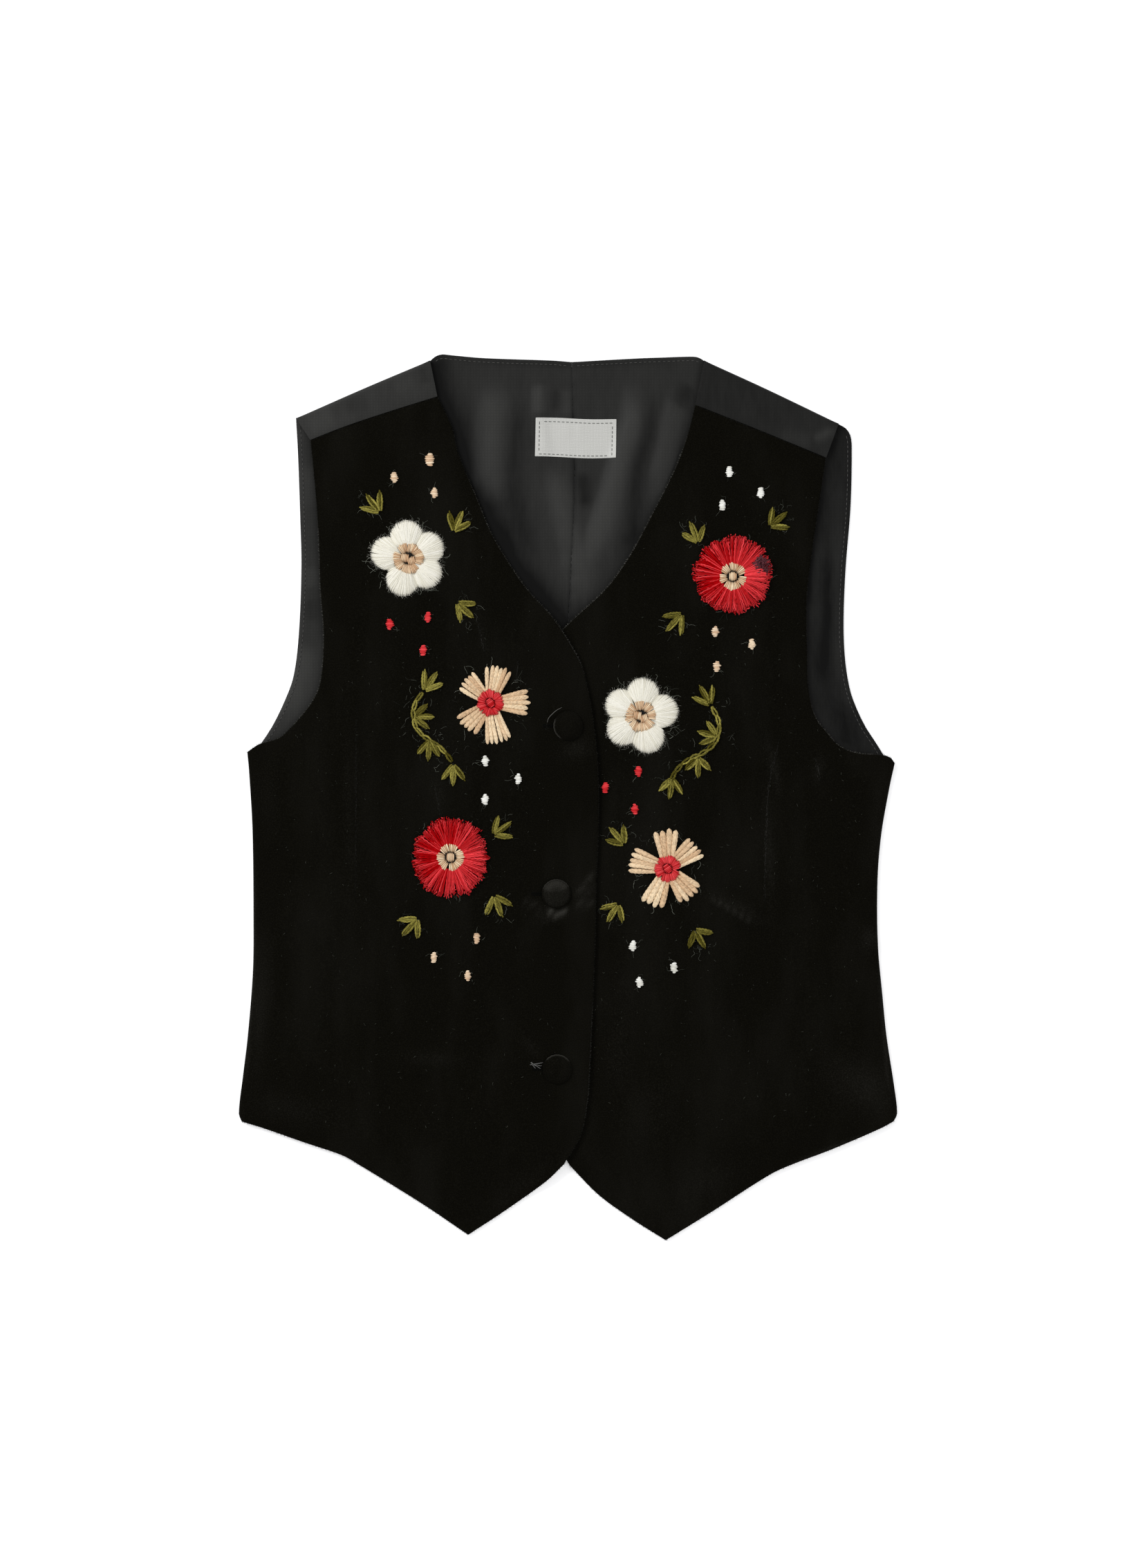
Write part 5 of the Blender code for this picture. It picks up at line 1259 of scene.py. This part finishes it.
def heart(kind, number, side, x, y):
    """A ring of blocks, the blocks at its middle, and the round of backing under them."""
    table = HEARTS[kind]
    lean = table["lean"][0] + table["lean"][1] * (number - 1)
    draw = np.random.default_rng(ord(kind[0]) + number)
    surface = velvet_top[side]
    blocks, inner, outer, threads, pitch, thick = table["ring"]
    low, high = table["height"]
    share = np.linspace(0.0, 1.0, len(THREAD_ARCH))
    flats, rises, radii = [], [], []
    for block in range(blocks):
        heading = math.radians(lean + 360 / blocks * block + draw.uniform(-4, 4))
        skew = draw.uniform(-0.2, 0.2)
        ahead, across = ahead_and_across(heading)
        for k in range(threads):
            place = (k - (threads - 1) / 2) * pitch
            start = inner + draw.uniform(-0.25, 0.2)
            end = outer - 0.1 * place**2 + draw.uniform(-0.4, 0.35)
            out = start + (end - start) * share
            aside = place * np.interp(share, [0, 1], [0.56, 1.0]) + skew * (out - inner)
            flats.append(np.array([x, y]) + out[:, None] * ahead + aside[:, None] * across)
            rises.append(low + (high - low) * share + THREAD_ARCH * draw.uniform(0.85, 1.15))
            radii.append(thick * THREAD_SWELL * np.interp(share, [0, 1], [0.62, 1.0]))
    for dx, dy, turn, strands, length in table["middle"]:
        ahead, across = ahead_and_across(math.radians(turn))
        for k in range(strands):
            place = (k - (strands - 1) / 2) * MIDDLE_PITCH
            reach = length * (1.0 - 0.1 * place**2 * (kind != "white")) + draw.uniform(-0.2, 0.2)
            out = (share - 0.5) * reach
            flats.append(np.array([x + dx, y + dy]) + out[:, None] * ahead + place * across)
            rises.append(low + THREAD_ARCH + 0.15)
            radii.append(MIDDLE_THREAD * THREAD_SWELL)
    red = table["fibre"] == "wool_red"
    lines = laid(surface, np.array(flats), np.array(rises))
    add_yarns(f"heart_stitches_{kind}_{number}", lines, np.array(radii), draw.uniform(0.0, 1.0, len(lines)),
              heart_red_wool if red else heart_tan_wool, [f"heart_{kind}_{number}"],
              sides=8, flat=0.9, plies=2, pitch=2.2, bite=0.1)
    base = bpy.data.meshes.new(f"heart_backing_{kind}_{number}")
    bm = bmesh.new()
    ground = surface.height(x, y) + low
    angles = np.linspace(0, 2 * math.pi, BACKING_POINTS + 1)[:-1]
    rim = [bm.verts.new(Vector((*place, ground - BACKING_SUNK[0])) * MM)
           for place in polar(x, y, np.full(BACKING_POINTS, inner + BACKING_REACH), angles)]
    centre = bm.verts.new(Vector((x, y, ground - BACKING_SUNK[1])) * MM)
    for a, b in zip(rim, rim[1:] + rim[:1]):
        bm.faces.new((centre, a, b))
    bm.to_mesh(base)
    bm.free()
    add_piece(base.name, base, red_backing if red else heart_backing)


for kind, flowers in (("white", WHITE_FLOWERS), ("tan", TAN_FLOWERS), ("fringe", FRINGE_FLOWERS)):
    for number, (side, x, y, _) in enumerate(flowers, 1):
        heart(kind, number, side, x, y)


# Leaves: olive green wool in lazy daisy stitch. Each leaf is one loop of yarn, with a straight stitch laid
# inside it that runs over its tip. Three leaves spring from one foot.
# Sprigs: side, x, y, heading and spread in degrees, leaf length
SPRIGS = [
    ("right", -90.6, 137.4, 128, 40, 10.9), ("right", -55.2, 128.0, 65, 40, 10.6),
    ("right", -53.4, 93.8, -43, 42, 10.2), ("right", -36.0, -18.2, 36, 45, 10.6),
    ("right", -35.5, -47.4, -70, 46, 10.8), ("right", -72.3, -58.5, -133, 45, 10.6),
    ("left", 62.7, 122.6, 110, 41, 10.0), ("left", 97.1, 130.5, 37, 43, 10.2),
    ("left", 55.2, 88.4, -134, 42, 10.8), ("left", 27.3, -22.8, 130, 42, 10.0),
    ("left", 24.3, -51.5, -122, 50, 9.8), ("left", 61.1, -63.8, -60, 52, 9.8),
]
LEAF_YARN = 0.66
LEAF_HALF_WIDTH = 1.02
LEAF_FOOT = 0.7
LEAF_STEPS = 22
# A leaf yarn's height and thickness, by share of its length
LEAF_SHARES = np.linspace(0.0, 1.0, LEAF_STEPS)
LEAF_RISE = np.interp(LEAF_SHARES, [0, 0.12, 0.25, 0.5, 0.75, 0.88, 1],
                      [0.35, 0.55, 0.68, 0.78, 0.62, 0.45, 0.2])
LEAF_SWELL = np.interp(LEAF_SHARES, [0, 0.12, 0.4, 0.62, 0.88, 0.95, 1],
                       [0.75, 0.92, 1.03, 1.0, 0.82, 0.7, 0.36])

# Olive wool: two plies with deep furrows between them, with nearly black painted shade on each yarn's sides and
# underside, where two yarns meet.
green_wool = spun_wool("olive_embroidery_wool", "#4a4411", "#a39a4b", "#0a0903", 0.75, 0.9, 0.03)


def loop_yarns(start, heading, length, half_width, draw, tie=True):
    """Plan points of one looped stitch: two sides that meet at its tip, and the tie that holds it there."""
    ahead, across = ahead_and_across(heading)
    share = LEAF_SHARES
    yarns = []
    for aside in (-1.0, 1.0):
        width = half_width * np.interp(share, [0, 0.25, 0.55, 0.85, 1.0], [0.45, 0.8, 1.0, 0.8, 0.4])
        if not tie:
            width = half_width * np.sin(math.pi * np.linspace(0.06, 0.94, LEAF_STEPS)) ** 0.8
        wave = 0.12 * np.sin(share * draw.uniform(3, 7) + draw.uniform(0, 6))
        off = aside * width + wave
        yarns.append(np.array(start) + (share * length)[:, None] * ahead + off[:, None] * across)
    if tie:
        reach = length * np.linspace(0.1, 1.0, LEAF_STEPS) + share * draw.uniform(0.3, 1.2)
        aside = draw.uniform(-0.15, 0.15) + draw.uniform(-0.4, 0.4) * share**2
        yarns.append(np.array(start) + reach[:, None] * ahead + aside[:, None] * across)
    return yarns


def sprig_yarns(x, y, heading, spread, length, draw):
    """Plan points of three leaves that spring from one foot, and the lift of each yarn."""
    yarns, lifts = [], []
    for side in (-1, 1, 0):
        leaf = length * (0.95 if side else 1.06) * draw.uniform(0.96, 1.03)
        turn = math.radians(heading + side * spread * 0.92 + draw.uniform(-2, 2))
        start = polar(x, y, LEAF_FOOT, turn)
        yarns += loop_yarns(start, turn, leaf - 2 * LEAF_FOOT, LEAF_HALF_WIDTH, draw)
        lifts += [0.0, 0.0, 0.08]
    return yarns, lifts


def green_piece(name, side, yarns, lifts, draw, replaced):
    """Lays green yarns on a front as one piece."""
    lines = laid(velvet_top[side], np.array(yarns), LEAF_RISE + np.array(lifts)[:, None])
    radii = draw.uniform(0.85, 1.1, (len(yarns), 1)) * LEAF_YARN * LEAF_SWELL
    add_yarns(name, lines, radii, draw.uniform(0.0, 1.0, len(yarns)), green_wool, [replaced],
              sides=8, flat=0.9, plies=2, pitch=3.0, bite=0.34)


for number, (side, x, y, heading, spread, length) in enumerate(SPRIGS, 1):
    draw = np.random.default_rng(400 + number)
    yarns, lifts = sprig_yarns(x, y, heading, spread, length, draw)
    green_piece(f"lazy_daisy_sprig_{number}", side, yarns, lifts, draw, f"sprig_{number}")


# Garlands: a curved stem in chain stitch, each link a loop of yarn that starts inside the last one, with four
# clusters of leaves worked over it.
# Clusters: x, y, heading and spread in degrees, leaf length
GARLANDS = [
    {
        "side": "right",
        "stem": [(-69.9, 50.4), (-73.0, 47.1), (-74.6, 42.8), (-73.6, 33.8), (-68.2, 28.4), (-61.6, 24.4),
                 (-58.2, 20.1), (-55.7, 16.8)],
        "clusters": [(-69.2, 51.1, 56, 36, 11.0), (-73.9, 38.8, 2, 45, 9.5), (-66.6, 27.8, -96, 39, 10.0),
                     (-55.2, 16.1, -92, 38, 10.4)],
    },
    {
        "side": "left",
        "stem": [(69.3, 43.7), (72.1, 38.4), (73.2, 33.0), (70.8, 26.1), (65.5, 21.5), (59.1, 18.8),
                 (53.6, 14.9), (50.6, 10.2)],
        "clusters": [(68.8, 44.4, 120, 40, 10.0), (71.8, 29.1, 162, 44, 9.6), (62.8, 19.4, -92, 46, 9.4),
                     (50.1, 9.4, -96, 42, 9.8)],
    },
]
LINK_LENGTH = 5.5
LINK_PITCH = 4.7
LINK_HALF_WIDTH = 0.72

for number, table in enumerate(GARLANDS, 1):
    draw = np.random.default_rng(500 + number)
    stem = Curve(table["stem"])
    yarns, lifts = [], []
    for k in range(int(round(stem.length / LINK_PITCH))):
        start = stem.at(k * LINK_PITCH / stem.length)
        end = stem.at(min(1.0, (k * LINK_PITCH + LINK_LENGTH) / stem.length))
        heading = math.atan2(end[1] - start[1], end[0] - start[0])
        yarns += loop_yarns(start, heading, LINK_LENGTH, LINK_HALF_WIDTH, draw, tie=False)
        lifts += [-0.1, -0.1]
    for x, y, heading, spread, length in table["clusters"]:
        more, more_lifts = sprig_yarns(x, y, heading, spread, length, draw)
        yarns += more
        lifts += more_lifts
    green_piece(f"chain_stitch_garland_{number}", table["side"], yarns, lifts, draw, f"garland_{number}")


# Dots: small ovals in satin stitch, each of six short yarns laid side by side over a little padding, with a
# thin stitch that shows above and one below. They stand in threes round the flowers.
# Dots: side, colour, x, y
DOTS = [
    ("right", "tan", -66.7, 162.8), ("right", "tan", -83.8, 154.2), ("right", "tan", -64.4, 146.8),
    ("right", "red", -85.9, 83.3), ("right", "red", -67.6, 86.8), ("right", "red", -69.7, 70.8),
    ("right", "white", -39.9, 17.5), ("right", "white", -24.0, 8.9), ("right", "white", -39.9, -1.0),
    ("right", "tan", -44.0, -68.1), ("right", "tan", -64.7, -77.2), ("right", "tan", -48.3, -86.0),
    ("left", "white", 77.7, 157.0), ("left", "white", 92.8, 146.8), ("left", "white", 74.4, 140.9),
    ("left", "tan", 71.0, 79.9), ("left", "tan", 88.7, 73.8), ("left", "tan", 71.7, 63.0),
    ("left", "red", 33.9, 12.4), ("left", "red", 17.9, 4.6), ("left", "red", 32.2, -5.7),
    ("left", "white", 31.3, -71.6), ("left", "white", 51.0, -82.2), ("left", "white", 34.5, -89.2),
]
DOT_HALF = (1.55, 2.05)
DOT_PAD = 1.0
DOT_STRANDS = 6
DOT_YARN = 0.6
DOT_TIE = 0.2
FIRST_DOT_SIZE = 1.2

# The same wools in short soft stitches, whose furrows show less than they do in the long ones, with painted
# shade on each stitch's sides and underside.
dot_tan_wool = spun_wool("pale_tan_dot_wool", "#cca580", "#f6e0c2", "#2c1b0e", 0.3, 0.86, 0.1)
dot_red_wool = spun_wool("red_dot_wool", "#b50c14", "#f04c50", "#400306", 0.3, 0.86, 0.0)
dot_white_wool = spun_wool("white_dot_wool", "#d4d2c6", "#f8f8f2", "#403f38", 0.25, 0.8, 0.1)
dot_wools = {"tan": dot_tan_wool, "red": dot_red_wool, "white": dot_white_wool}

for number, (side, colour, x, y) in enumerate(DOTS, 1):
    draw = np.random.default_rng(600 + number)
    size = FIRST_DOT_SIZE if number == 1 else 1.0
    share = np.linspace(-1.0, 1.0, 7)
    flats, rises = [], []
    for k in range(DOT_STRANDS):
        place = k / (DOT_STRANDS - 1) * 2 - 1
        half = DOT_HALF[0] * size * math.sqrt(1 - place**2 * 0.7) + draw.uniform(-0.25, 0.4)
        lean, shift = draw.uniform(-0.2, 0.2), draw.uniform(-0.25, 0.25)
        row = y + place * DOT_HALF[1] * size
        flats.append(np.stack([x + shift + share * half, row + share * lean], axis=-1))
        rises.append(DOT_PAD * np.sqrt(1 - (0.9 * share) ** 2) * math.sqrt(1 - place**2 * 0.6) - 0.15)
    for end in (-1, 1):
        reach = np.linspace(0.6, 1.0 + draw.uniform(0.2, 0.38), 7)
        column = np.full(7, x + draw.uniform(-0.4, 0.4))
        flats.append(np.stack([column, y + end * reach * DOT_HALF[1] * size], axis=-1))
        rises.append(np.linspace(0.5, 0.15, 7))
    thick = np.array([DOT_YARN] * DOT_STRANDS + [DOT_TIE] * 2)[:, None] * size
    radii = thick * np.array([0.45, 0.85, 1.0, 1.0, 1.0, 0.85, 0.45])
    lines = laid(velvet_top[side], np.array(flats), np.array(rises))
    add_yarns(f"{colour}_dot_stitches_{number}", lines, radii, draw.uniform(0.2, 1.0, len(lines)),
              dot_wools[colour], [f"dot_{number}"], sides=8)


# Buttons: round shanked domes covered in the same velvet, gathered under their rims and pushed through
# worked buttonholes in the upper front. Painted sheen lightens an arc of each rim and the brushed tops.
# Buttons: x, y, arc of the rim with painted sheen from and to in degrees, its strength, strength of the painted
# sheen on the brushed top
BUTTONS = [(0.0, 34.4, 140, 252, 1.9, 0.0), (-5.6, -46.5, 15, 175, 1.0, 0.8),
           (-5.2, -130.9, 22, 152, 1.7, 0.1)]
BUTTON_RADIUS = 7.1
BUTTON_LIFT = 0.25
BUTTON_TURNS = 96
# From the top's middle over the rim to the underside: radius, height
BUTTON_PROFILE = [(0.0, 3.4), (0.9, 3.38), (1.8, 3.3), (2.7, 3.15), (3.6, 2.92), (4.5, 2.6), (5.3, 2.18),
                  (6.0, 1.7), (6.5, 1.25), (6.85, 0.85), (7.03, 0.5), (7.05, 0.2), (6.85, -0.1),
                  (6.3, -0.35), (5.0, -0.5)]
GATHERS = 26

for number, (x, y, start, end, strength, brushed_sheen) in enumerate(BUTTONS, 1):
    turns = np.arange(BUTTON_TURNS) / BUTTON_TURNS * 2 * math.pi
    rim = polar(x, y, np.full(16, BUTTON_RADIUS), turns[::BUTTON_TURNS // 16])
    seat = velvet_top["right"].over(rim).max() + BUTTON_LIFT
    rows, sheen_wear_rows = [], []
    for radius, rise in BUTTON_PROFILE:
        gather = smoothstep((radius - 4.6) / 2.4)
        spread = radius + 0.07 * gather * np.sin(turns * GATHERS + 1.5 * np.sin(turns * 3 + number))
        tilt = 0.12 * np.cos(turns - 1.1 * number) * radius / BUTTON_RADIUS
        flat = polar(x, y, spread, turns)
        rows.append(np.column_stack([flat, seat + rise + tilt]))
        # Painted sheen on an arc of the rim and on the brushed top, kept at each point for the material.
        middle, half = math.radians((start + end) / 2), math.radians((end - start) / 2)
        off = np.abs(apart_from(turns, middle))
        arc = smoothstep((half - off) / 0.5)
        edge = np.exp(-((radius - 6.85) / 0.3) ** 2) * (rise > 0)
        fade = 0.45 + 0.55 * arc * smoothstep(radius / 5.5)
        lit = strength * arc * edge + brushed_sheen * fade * smoothstep((6.9 - radius) / 1.0)
        sheen_wear_rows.append(lit)
    faces = []
    last = (len(rows) - 1) * BUTTON_TURNS
    for ring in range(0, last, BUTTON_TURNS):
        for j in range(BUTTON_TURNS):
            here, beside = ring + j, ring + (j + 1) % BUTTON_TURNS
            faces.append((here, here + BUTTON_TURNS, beside + BUTTON_TURNS, beside))
    mesh = bpy.data.meshes.new(f"covered_button_{number}")
    underside = tuple(range(last + BUTTON_TURNS - 1, last - 1, -1))
    mesh.from_pydata((np.vstack(rows) * MM).tolist(), [], faces + [underside])
    keep_values(mesh, "sheen_and_wear", np.concatenate(sheen_wear_rows))
    add_piece(mesh.name, mesh, cotton_velvet, [f"button_{number}"])


# Buttonholes: short slits beside the buttons, overcast with black thread. The lowest one shows the end of its
# stitching, two loose strands that fan out from a bar.
BUTTONHOLE_REACH = (7.4, 12.0)
BUTTONHOLE_PITCH = 0.5
BUTTONHOLE_YARN = 0.2
LOOSE_YARN = 0.17
# The loose strands, measured from the lowest button's middle, and the height of each strand's points
LOOSE_STRANDS = [
    [(-12.8, 3.0), (-11.4, 2.4), (-9.6, 2.6), (-7.8, 2.9), (-6.9, 3.0)],
    [(-12.6, 3.3), (-11.0, 1.9), (-9.7, 1.3), (-8.6, 0.5), (-8.0, 0.2)],
    [(-12.2, 2.6), (-10.6, 2.0), (-9.4, 1.9), (-8.3, 1.5), (-7.4, 1.6)],
    [(-13.1, 2.0), (-12.2, 2.2), (-11.5, 1.6), (-11.0, 0.9), (-10.5, 0.3)],
]
LOOSE_RISE = np.array([0.1, 0.35, 0.45, 0.4, 0.15])

# Waxed thread, as dull as the pile round it, and the same thread worn grey where it has come loose.
buttonhole_thread, _, _ = new_material("waxed_black_buttonhole_thread", {
    "Base Color": linear("#080806"), "Roughness": 0.95, "Specular IOR Level": 0.05})
loose_thread, _, _ = new_material("grey_worn_buttonhole_thread", {
    "Base Color": linear("#50504d"), "Roughness": 0.6, "Sheen Weight": 0.1})

flats, rises = [], []
share = np.linspace(-1.0, 1.0, 5)
for x, y, *_ in BUTTONS:
    draw = np.random.default_rng(int(abs(y)))
    for reach in np.arange(*BUTTONHOLE_REACH, BUTTONHOLE_PITCH):
        half = 0.95 + draw.uniform(-0.15, 0.15)
        flats.append(np.stack([x - reach + share * draw.uniform(-0.1, 0.1), y + share * half], axis=-1))
        rises.append(np.array([-0.15, 0.06, 0.0, 0.06, -0.15]))
lines = laid(velvet_top["right"], np.array(flats), np.array(rises))
add_yarns("buttonhole_overcasting", lines, BUTTONHOLE_YARN, [0.5] * len(lines), buttonhole_thread,
          sides=5)
lines = laid(velvet_top["right"], np.array(LOOSE_STRANDS) + BUTTONS[2][:2], LOOSE_RISE)
add_yarns("loose_buttonhole_strands", lines, LOOSE_YARN, [0.5] * len(lines), loose_thread,
          sides=5)


# Loose wool: thin curly fibres that stand out from every motif, and lint caught in the pile.
# Real fibres are 0.03 mm thick; these are drawn at 0.1 mm, darker, so that they show as faintly as real ones.
STRAY_RADIUS = 0.05
STRAY_STEPS = 9
# Fibres round one motif: least and greatest distance of their starts, count, longest, palest
STRAYS = {
    "white": (13.0, 17.5, 95, 7.0, 1.0), "tan": (11.0, 18.0, 75, 6.5, 0.9),
    "fringe": (16.5, 18.5, 36, 5.0, 0.5), "sprig": (2.0, 6.5, 22, 5.5, 0.5), "dot": (1.6, 2.6, 5, 4.5, 0.6),
    "cluster": (2.0, 9.0, 18, 5.5, 0.5), "lint": (0.0, 0.1, 1, 1.7, 0.28),
}
SPRIG_MIDDLE = 6.0
LINT_SPECKS = 520
LINT_FIELD = {"right": ((-142.0, -160.0), (-6.0, 150.0)), "left": ((8.0, -160.0), (144.0, 150.0))}


def fine_fibre(name, dark, light, gloss):
    """Dull fibre too fine for a pattern of its own, which goes from dark to light by its tone."""
    made, tree, shader = new_material(name, {"Roughness": 1.0, "Specular IOR Level": gloss})
    tone = add_node(tree, "ShaderNodeAttribute", {"attribute_name": "tone"})
    dyed = add_node(tree, "ShaderNodeMix", {"data_type": "RGBA"}, {
        "Factor": tone.outputs["Fac"], 6: linear(dark), 7: linear(light)})
    tree.links.new(dyed.outputs[2], shader.inputs["Base Color"])
    return made


loose_fibres = fine_fibre("loose_wool_fibres", "#1f201b", "#93978a", 0.1)


def stray_fibres(draw, x, y, inner, outer, count, longest, palest):
    """Plan points, heights and tones of curly fibres that start inside a motif's edge."""
    around = draw.uniform(0, 2 * math.pi, count)
    begin = polar(x, y, draw.uniform(inner, outer, count), around)
    turning = np.cumsum(draw.normal(0.0, 0.42, (count, STRAY_STEPS)), axis=1)
    turning = turning + (around + draw.normal(0, 0.5, count))[:, None]
    step = draw.uniform(0.25, 1.0, count) ** 1.6 * longest / STRAY_STEPS
    walk = np.cumsum(facing(turning) * step[:, None, None], axis=1)
    rise = 0.25 + draw.uniform(0.0, 0.9, count)[:, None] * np.sin(np.linspace(0.3, 3.0, STRAY_STEPS))
    return begin[:, None] + walk, rise, draw.uniform(0.1, 1.0, count) ** 1.5 * palest


for side in ("right", "left"):
    draw = np.random.default_rng(800 + len(side))
    spots = [("white", x, y) for s, x, y, _ in WHITE_FLOWERS if s == side]
    spots += [("tan", x, y) for s, x, y, _ in TAN_FLOWERS if s == side]
    spots += [("fringe", x, y) for s, x, y, _ in FRINGE_FLOWERS if s == side]
    spots += [("sprig", *polar(x, y, SPRIG_MIDDLE, math.radians(heading)))
              for s, x, y, heading, _, _ in SPRIGS if s == side]
    spots += [("dot", x, y) for s, _, x, y in DOTS if s == side]
    for table in GARLANDS:
        if table["side"] == side:
            spots += [("cluster", x, y) for x, y, *_ in table["clusters"]]
    groups = [stray_fibres(draw, x, y, *STRAYS[kind]) for kind, x, y in spots]
    specks = draw.uniform(*LINT_FIELD[side], (LINT_SPECKS * 2, 2))
    on_cloth = [velvet_top[side].height(*speck) > FOLD_HEIGHT for speck in specks]
    groups += [stray_fibres(draw, *speck, *STRAYS["lint"]) for speck in specks[on_cloth][:LINT_SPECKS]]
    flat, rise, tones = (np.concatenate(values) for values in zip(*groups))
    lines = laid(velvet_top[side], flat, rise)
    add_yarns(f"stray_wool_{side}", lines, STRAY_RADIUS, tones, loose_fibres, sides=3)


# The cut pile along the edges of the velvet: short black hairs that stick out over the satin and the table,
# with paler painted sheen where the turned edge is worn and catches the light. Real pile is finer; each hair
# here stands for a few.
EDGE_HAIR_PITCH = 0.4
EDGE_HAIR_RADII = np.array([0.08, 0.07, 0.03])
# Hairs start this far inside the edge and stand on the cloth's height a little further in
EDGE_HAIR_START = 0.35
EDGE_HAIR_GROUND = 0.8
# A place inside each front, to tell the outer side of an edge from the inner one
FRONT_MIDDLES = {"right": (-80.0, 0.0), "left": (80.0, 0.0)}
# Where the edges are worn and painted paler as sheen: place, reach, strength
EDGE_SHEEN_WEAR = {
    "right": [((-118.0, 79.6), 55.0, 0.75), ((-38.0, 125.0), 34.0, 0.5), ((-10.0, 90.0), 36.0, 0.6),
              ((-140.0, 27.0), 16.0, 0.4), ((10.5, -130.0), 34.0, 0.25)],
    "left": [((20.0, 103.0), 45.0, 1.0), ((45.0, 145.0), 35.0, 0.8), ((128.0, 26.0), 26.0, 0.8)],
}
edge_pile = fine_fibre("velvet_edge_pile", "#080704", "#62615c", 0.05)

for side, table in FRONTS.items():
    draw = np.random.default_rng(900 + len(side))
    hairs, tones = [], []
    for points in (table["armhole"], table["opening"], SHOULDER_SEAMS[side], table["hem_outer"],
                   table["hem_inner"]):
        curve = Curve(points)
        count = int(curve.length / EDGE_HAIR_PITCH)
        line = curve.at(np.linspace(0.0, 1.0, count))
        ahead, right = ahead_and_right(line)
        outwards = np.sum(right * (line - FRONT_MIDDLES[side]), axis=1, keepdims=True) > 0
        outer = np.where(outwards, right, -right)
        lean = outer + draw.normal(0.0, 0.5, (count, 1)) * ahead
        reach = draw.uniform(0.3, 0.95, count)[:, None, None] * np.array([0.0, 0.5, 1.0])[None, :, None]
        start = line - outer * EDGE_HAIR_START
        ground = velvet_top[side].over(line - outer * EDGE_HAIR_GROUND)
        flat = start[:, None] + lean[:, None] * (reach + 0.05)
        high = np.maximum(ground[:, None] + [-0.05, -0.2, -0.6], 0.1)
        hairs.append(np.concatenate([flat, high[..., None]], axis=-1))
        # Painted sheen makes the hairs paler along the worn edges.
        sheen_wear = np.zeros(count)
        for place, length, strength in EDGE_SHEEN_WEAR[side]:
            near = np.linalg.norm(line - place, axis=1)
            sheen_wear = np.maximum(sheen_wear, strength * smoothstep((length - near) / 12.0))
        tones.append(draw.uniform(0.0, 0.12, count) + sheen_wear * draw.uniform(0.2, 1.0, count) ** 1.5)
    add_yarns(f"velvet_edge_pile_{side}", np.concatenate(hairs), EDGE_HAIR_RADII, np.concatenate(tones),
              edge_pile, sides=3)


# Worn creases: short pale hairs of the velvet's own pile, which lie along its sharpest folds, and the corded
# lip of the top buttonhole, where handling has rubbed it. Their paleness is painted sheen where the pile catches
# the light. Creases: points, tone of the painted sheen, scatter across the crease
CREASE_SHEEN_WEAR = {
    "right": [
        ([(-44.0, 86.0), (-40.0, 69.0)], 0.3, 0.25), ([(-24.0, 66.0), (-25.0, 56.0)], 0.26, 0.25),
        ([(-61.0, -10.0), (-65.0, 8.0)], 0.26, 0.25), ([(-102.0, 46.0), (-102.4, -50.0)], 0.16, 0.3),
        ([(-9.9, 32.0), (-10.4, 34.6), (-9.8, 36.0)], 0.35, 0.4),
    ],
    "left": [
        ([(119.0, 20.0), (121.5, 8.0)], 0.4, 0.3), ([(101.8, 28.0), (96.6, 3.0), (94.6, -54.0)], 0.34, 0.3),
    ],
}
BUTTONHOLE_LIP = [(-2.9, 43.3), (-5.5, 41.9), (-8.3, 39.4), (-9.5, 37.8), (-10.0, 36.0)]
LIP_STEPS = 24
LIP_RADIUS = 0.2
CREASE_HAIRS = 5
CREASE_HAIR_RADIUS = 0.06

for side, creases in CREASE_SHEEN_WEAR.items():
    draw = np.random.default_rng(950 + len(side))
    flats, tones = [], []
    for points, strength, scatter in creases:
        curve = Curve(points)
        count = int(curve.length * CREASE_HAIRS)
        where = draw.uniform(0.0, 1.0, count)[:, None] + np.array([-0.4, 0.0, 0.4]) / curve.length
        flats.append(curve.at(where) + draw.normal(0.0, scatter, (count, 1, 2)))
        tones.append(strength * draw.uniform(0.1, 1.0, count) ** 1.5 * np.sin(math.pi * where[:, 1]) ** 0.5)
    lines = laid(velvet_top[side], np.concatenate(flats), np.array([-0.03, 0.05, -0.03]))
    add_yarns(f"crease_sheen_wear_{side}", lines, CREASE_HAIR_RADIUS, np.concatenate(tones), edge_pile,
              sides=3)
# The lip's pale tone is painted sheen.
lip = Curve(BUTTONHOLE_LIP).at(np.linspace(0.0, 1.0, LIP_STEPS))
swell = np.sin(math.pi * np.linspace(0.08, 0.92, LIP_STEPS)) ** 0.5
lines = laid(velvet_top["right"], lip[None], 0.08)
add_yarns("buttonhole_lip", lines, LIP_RADIUS * swell, [0.7], edge_pile)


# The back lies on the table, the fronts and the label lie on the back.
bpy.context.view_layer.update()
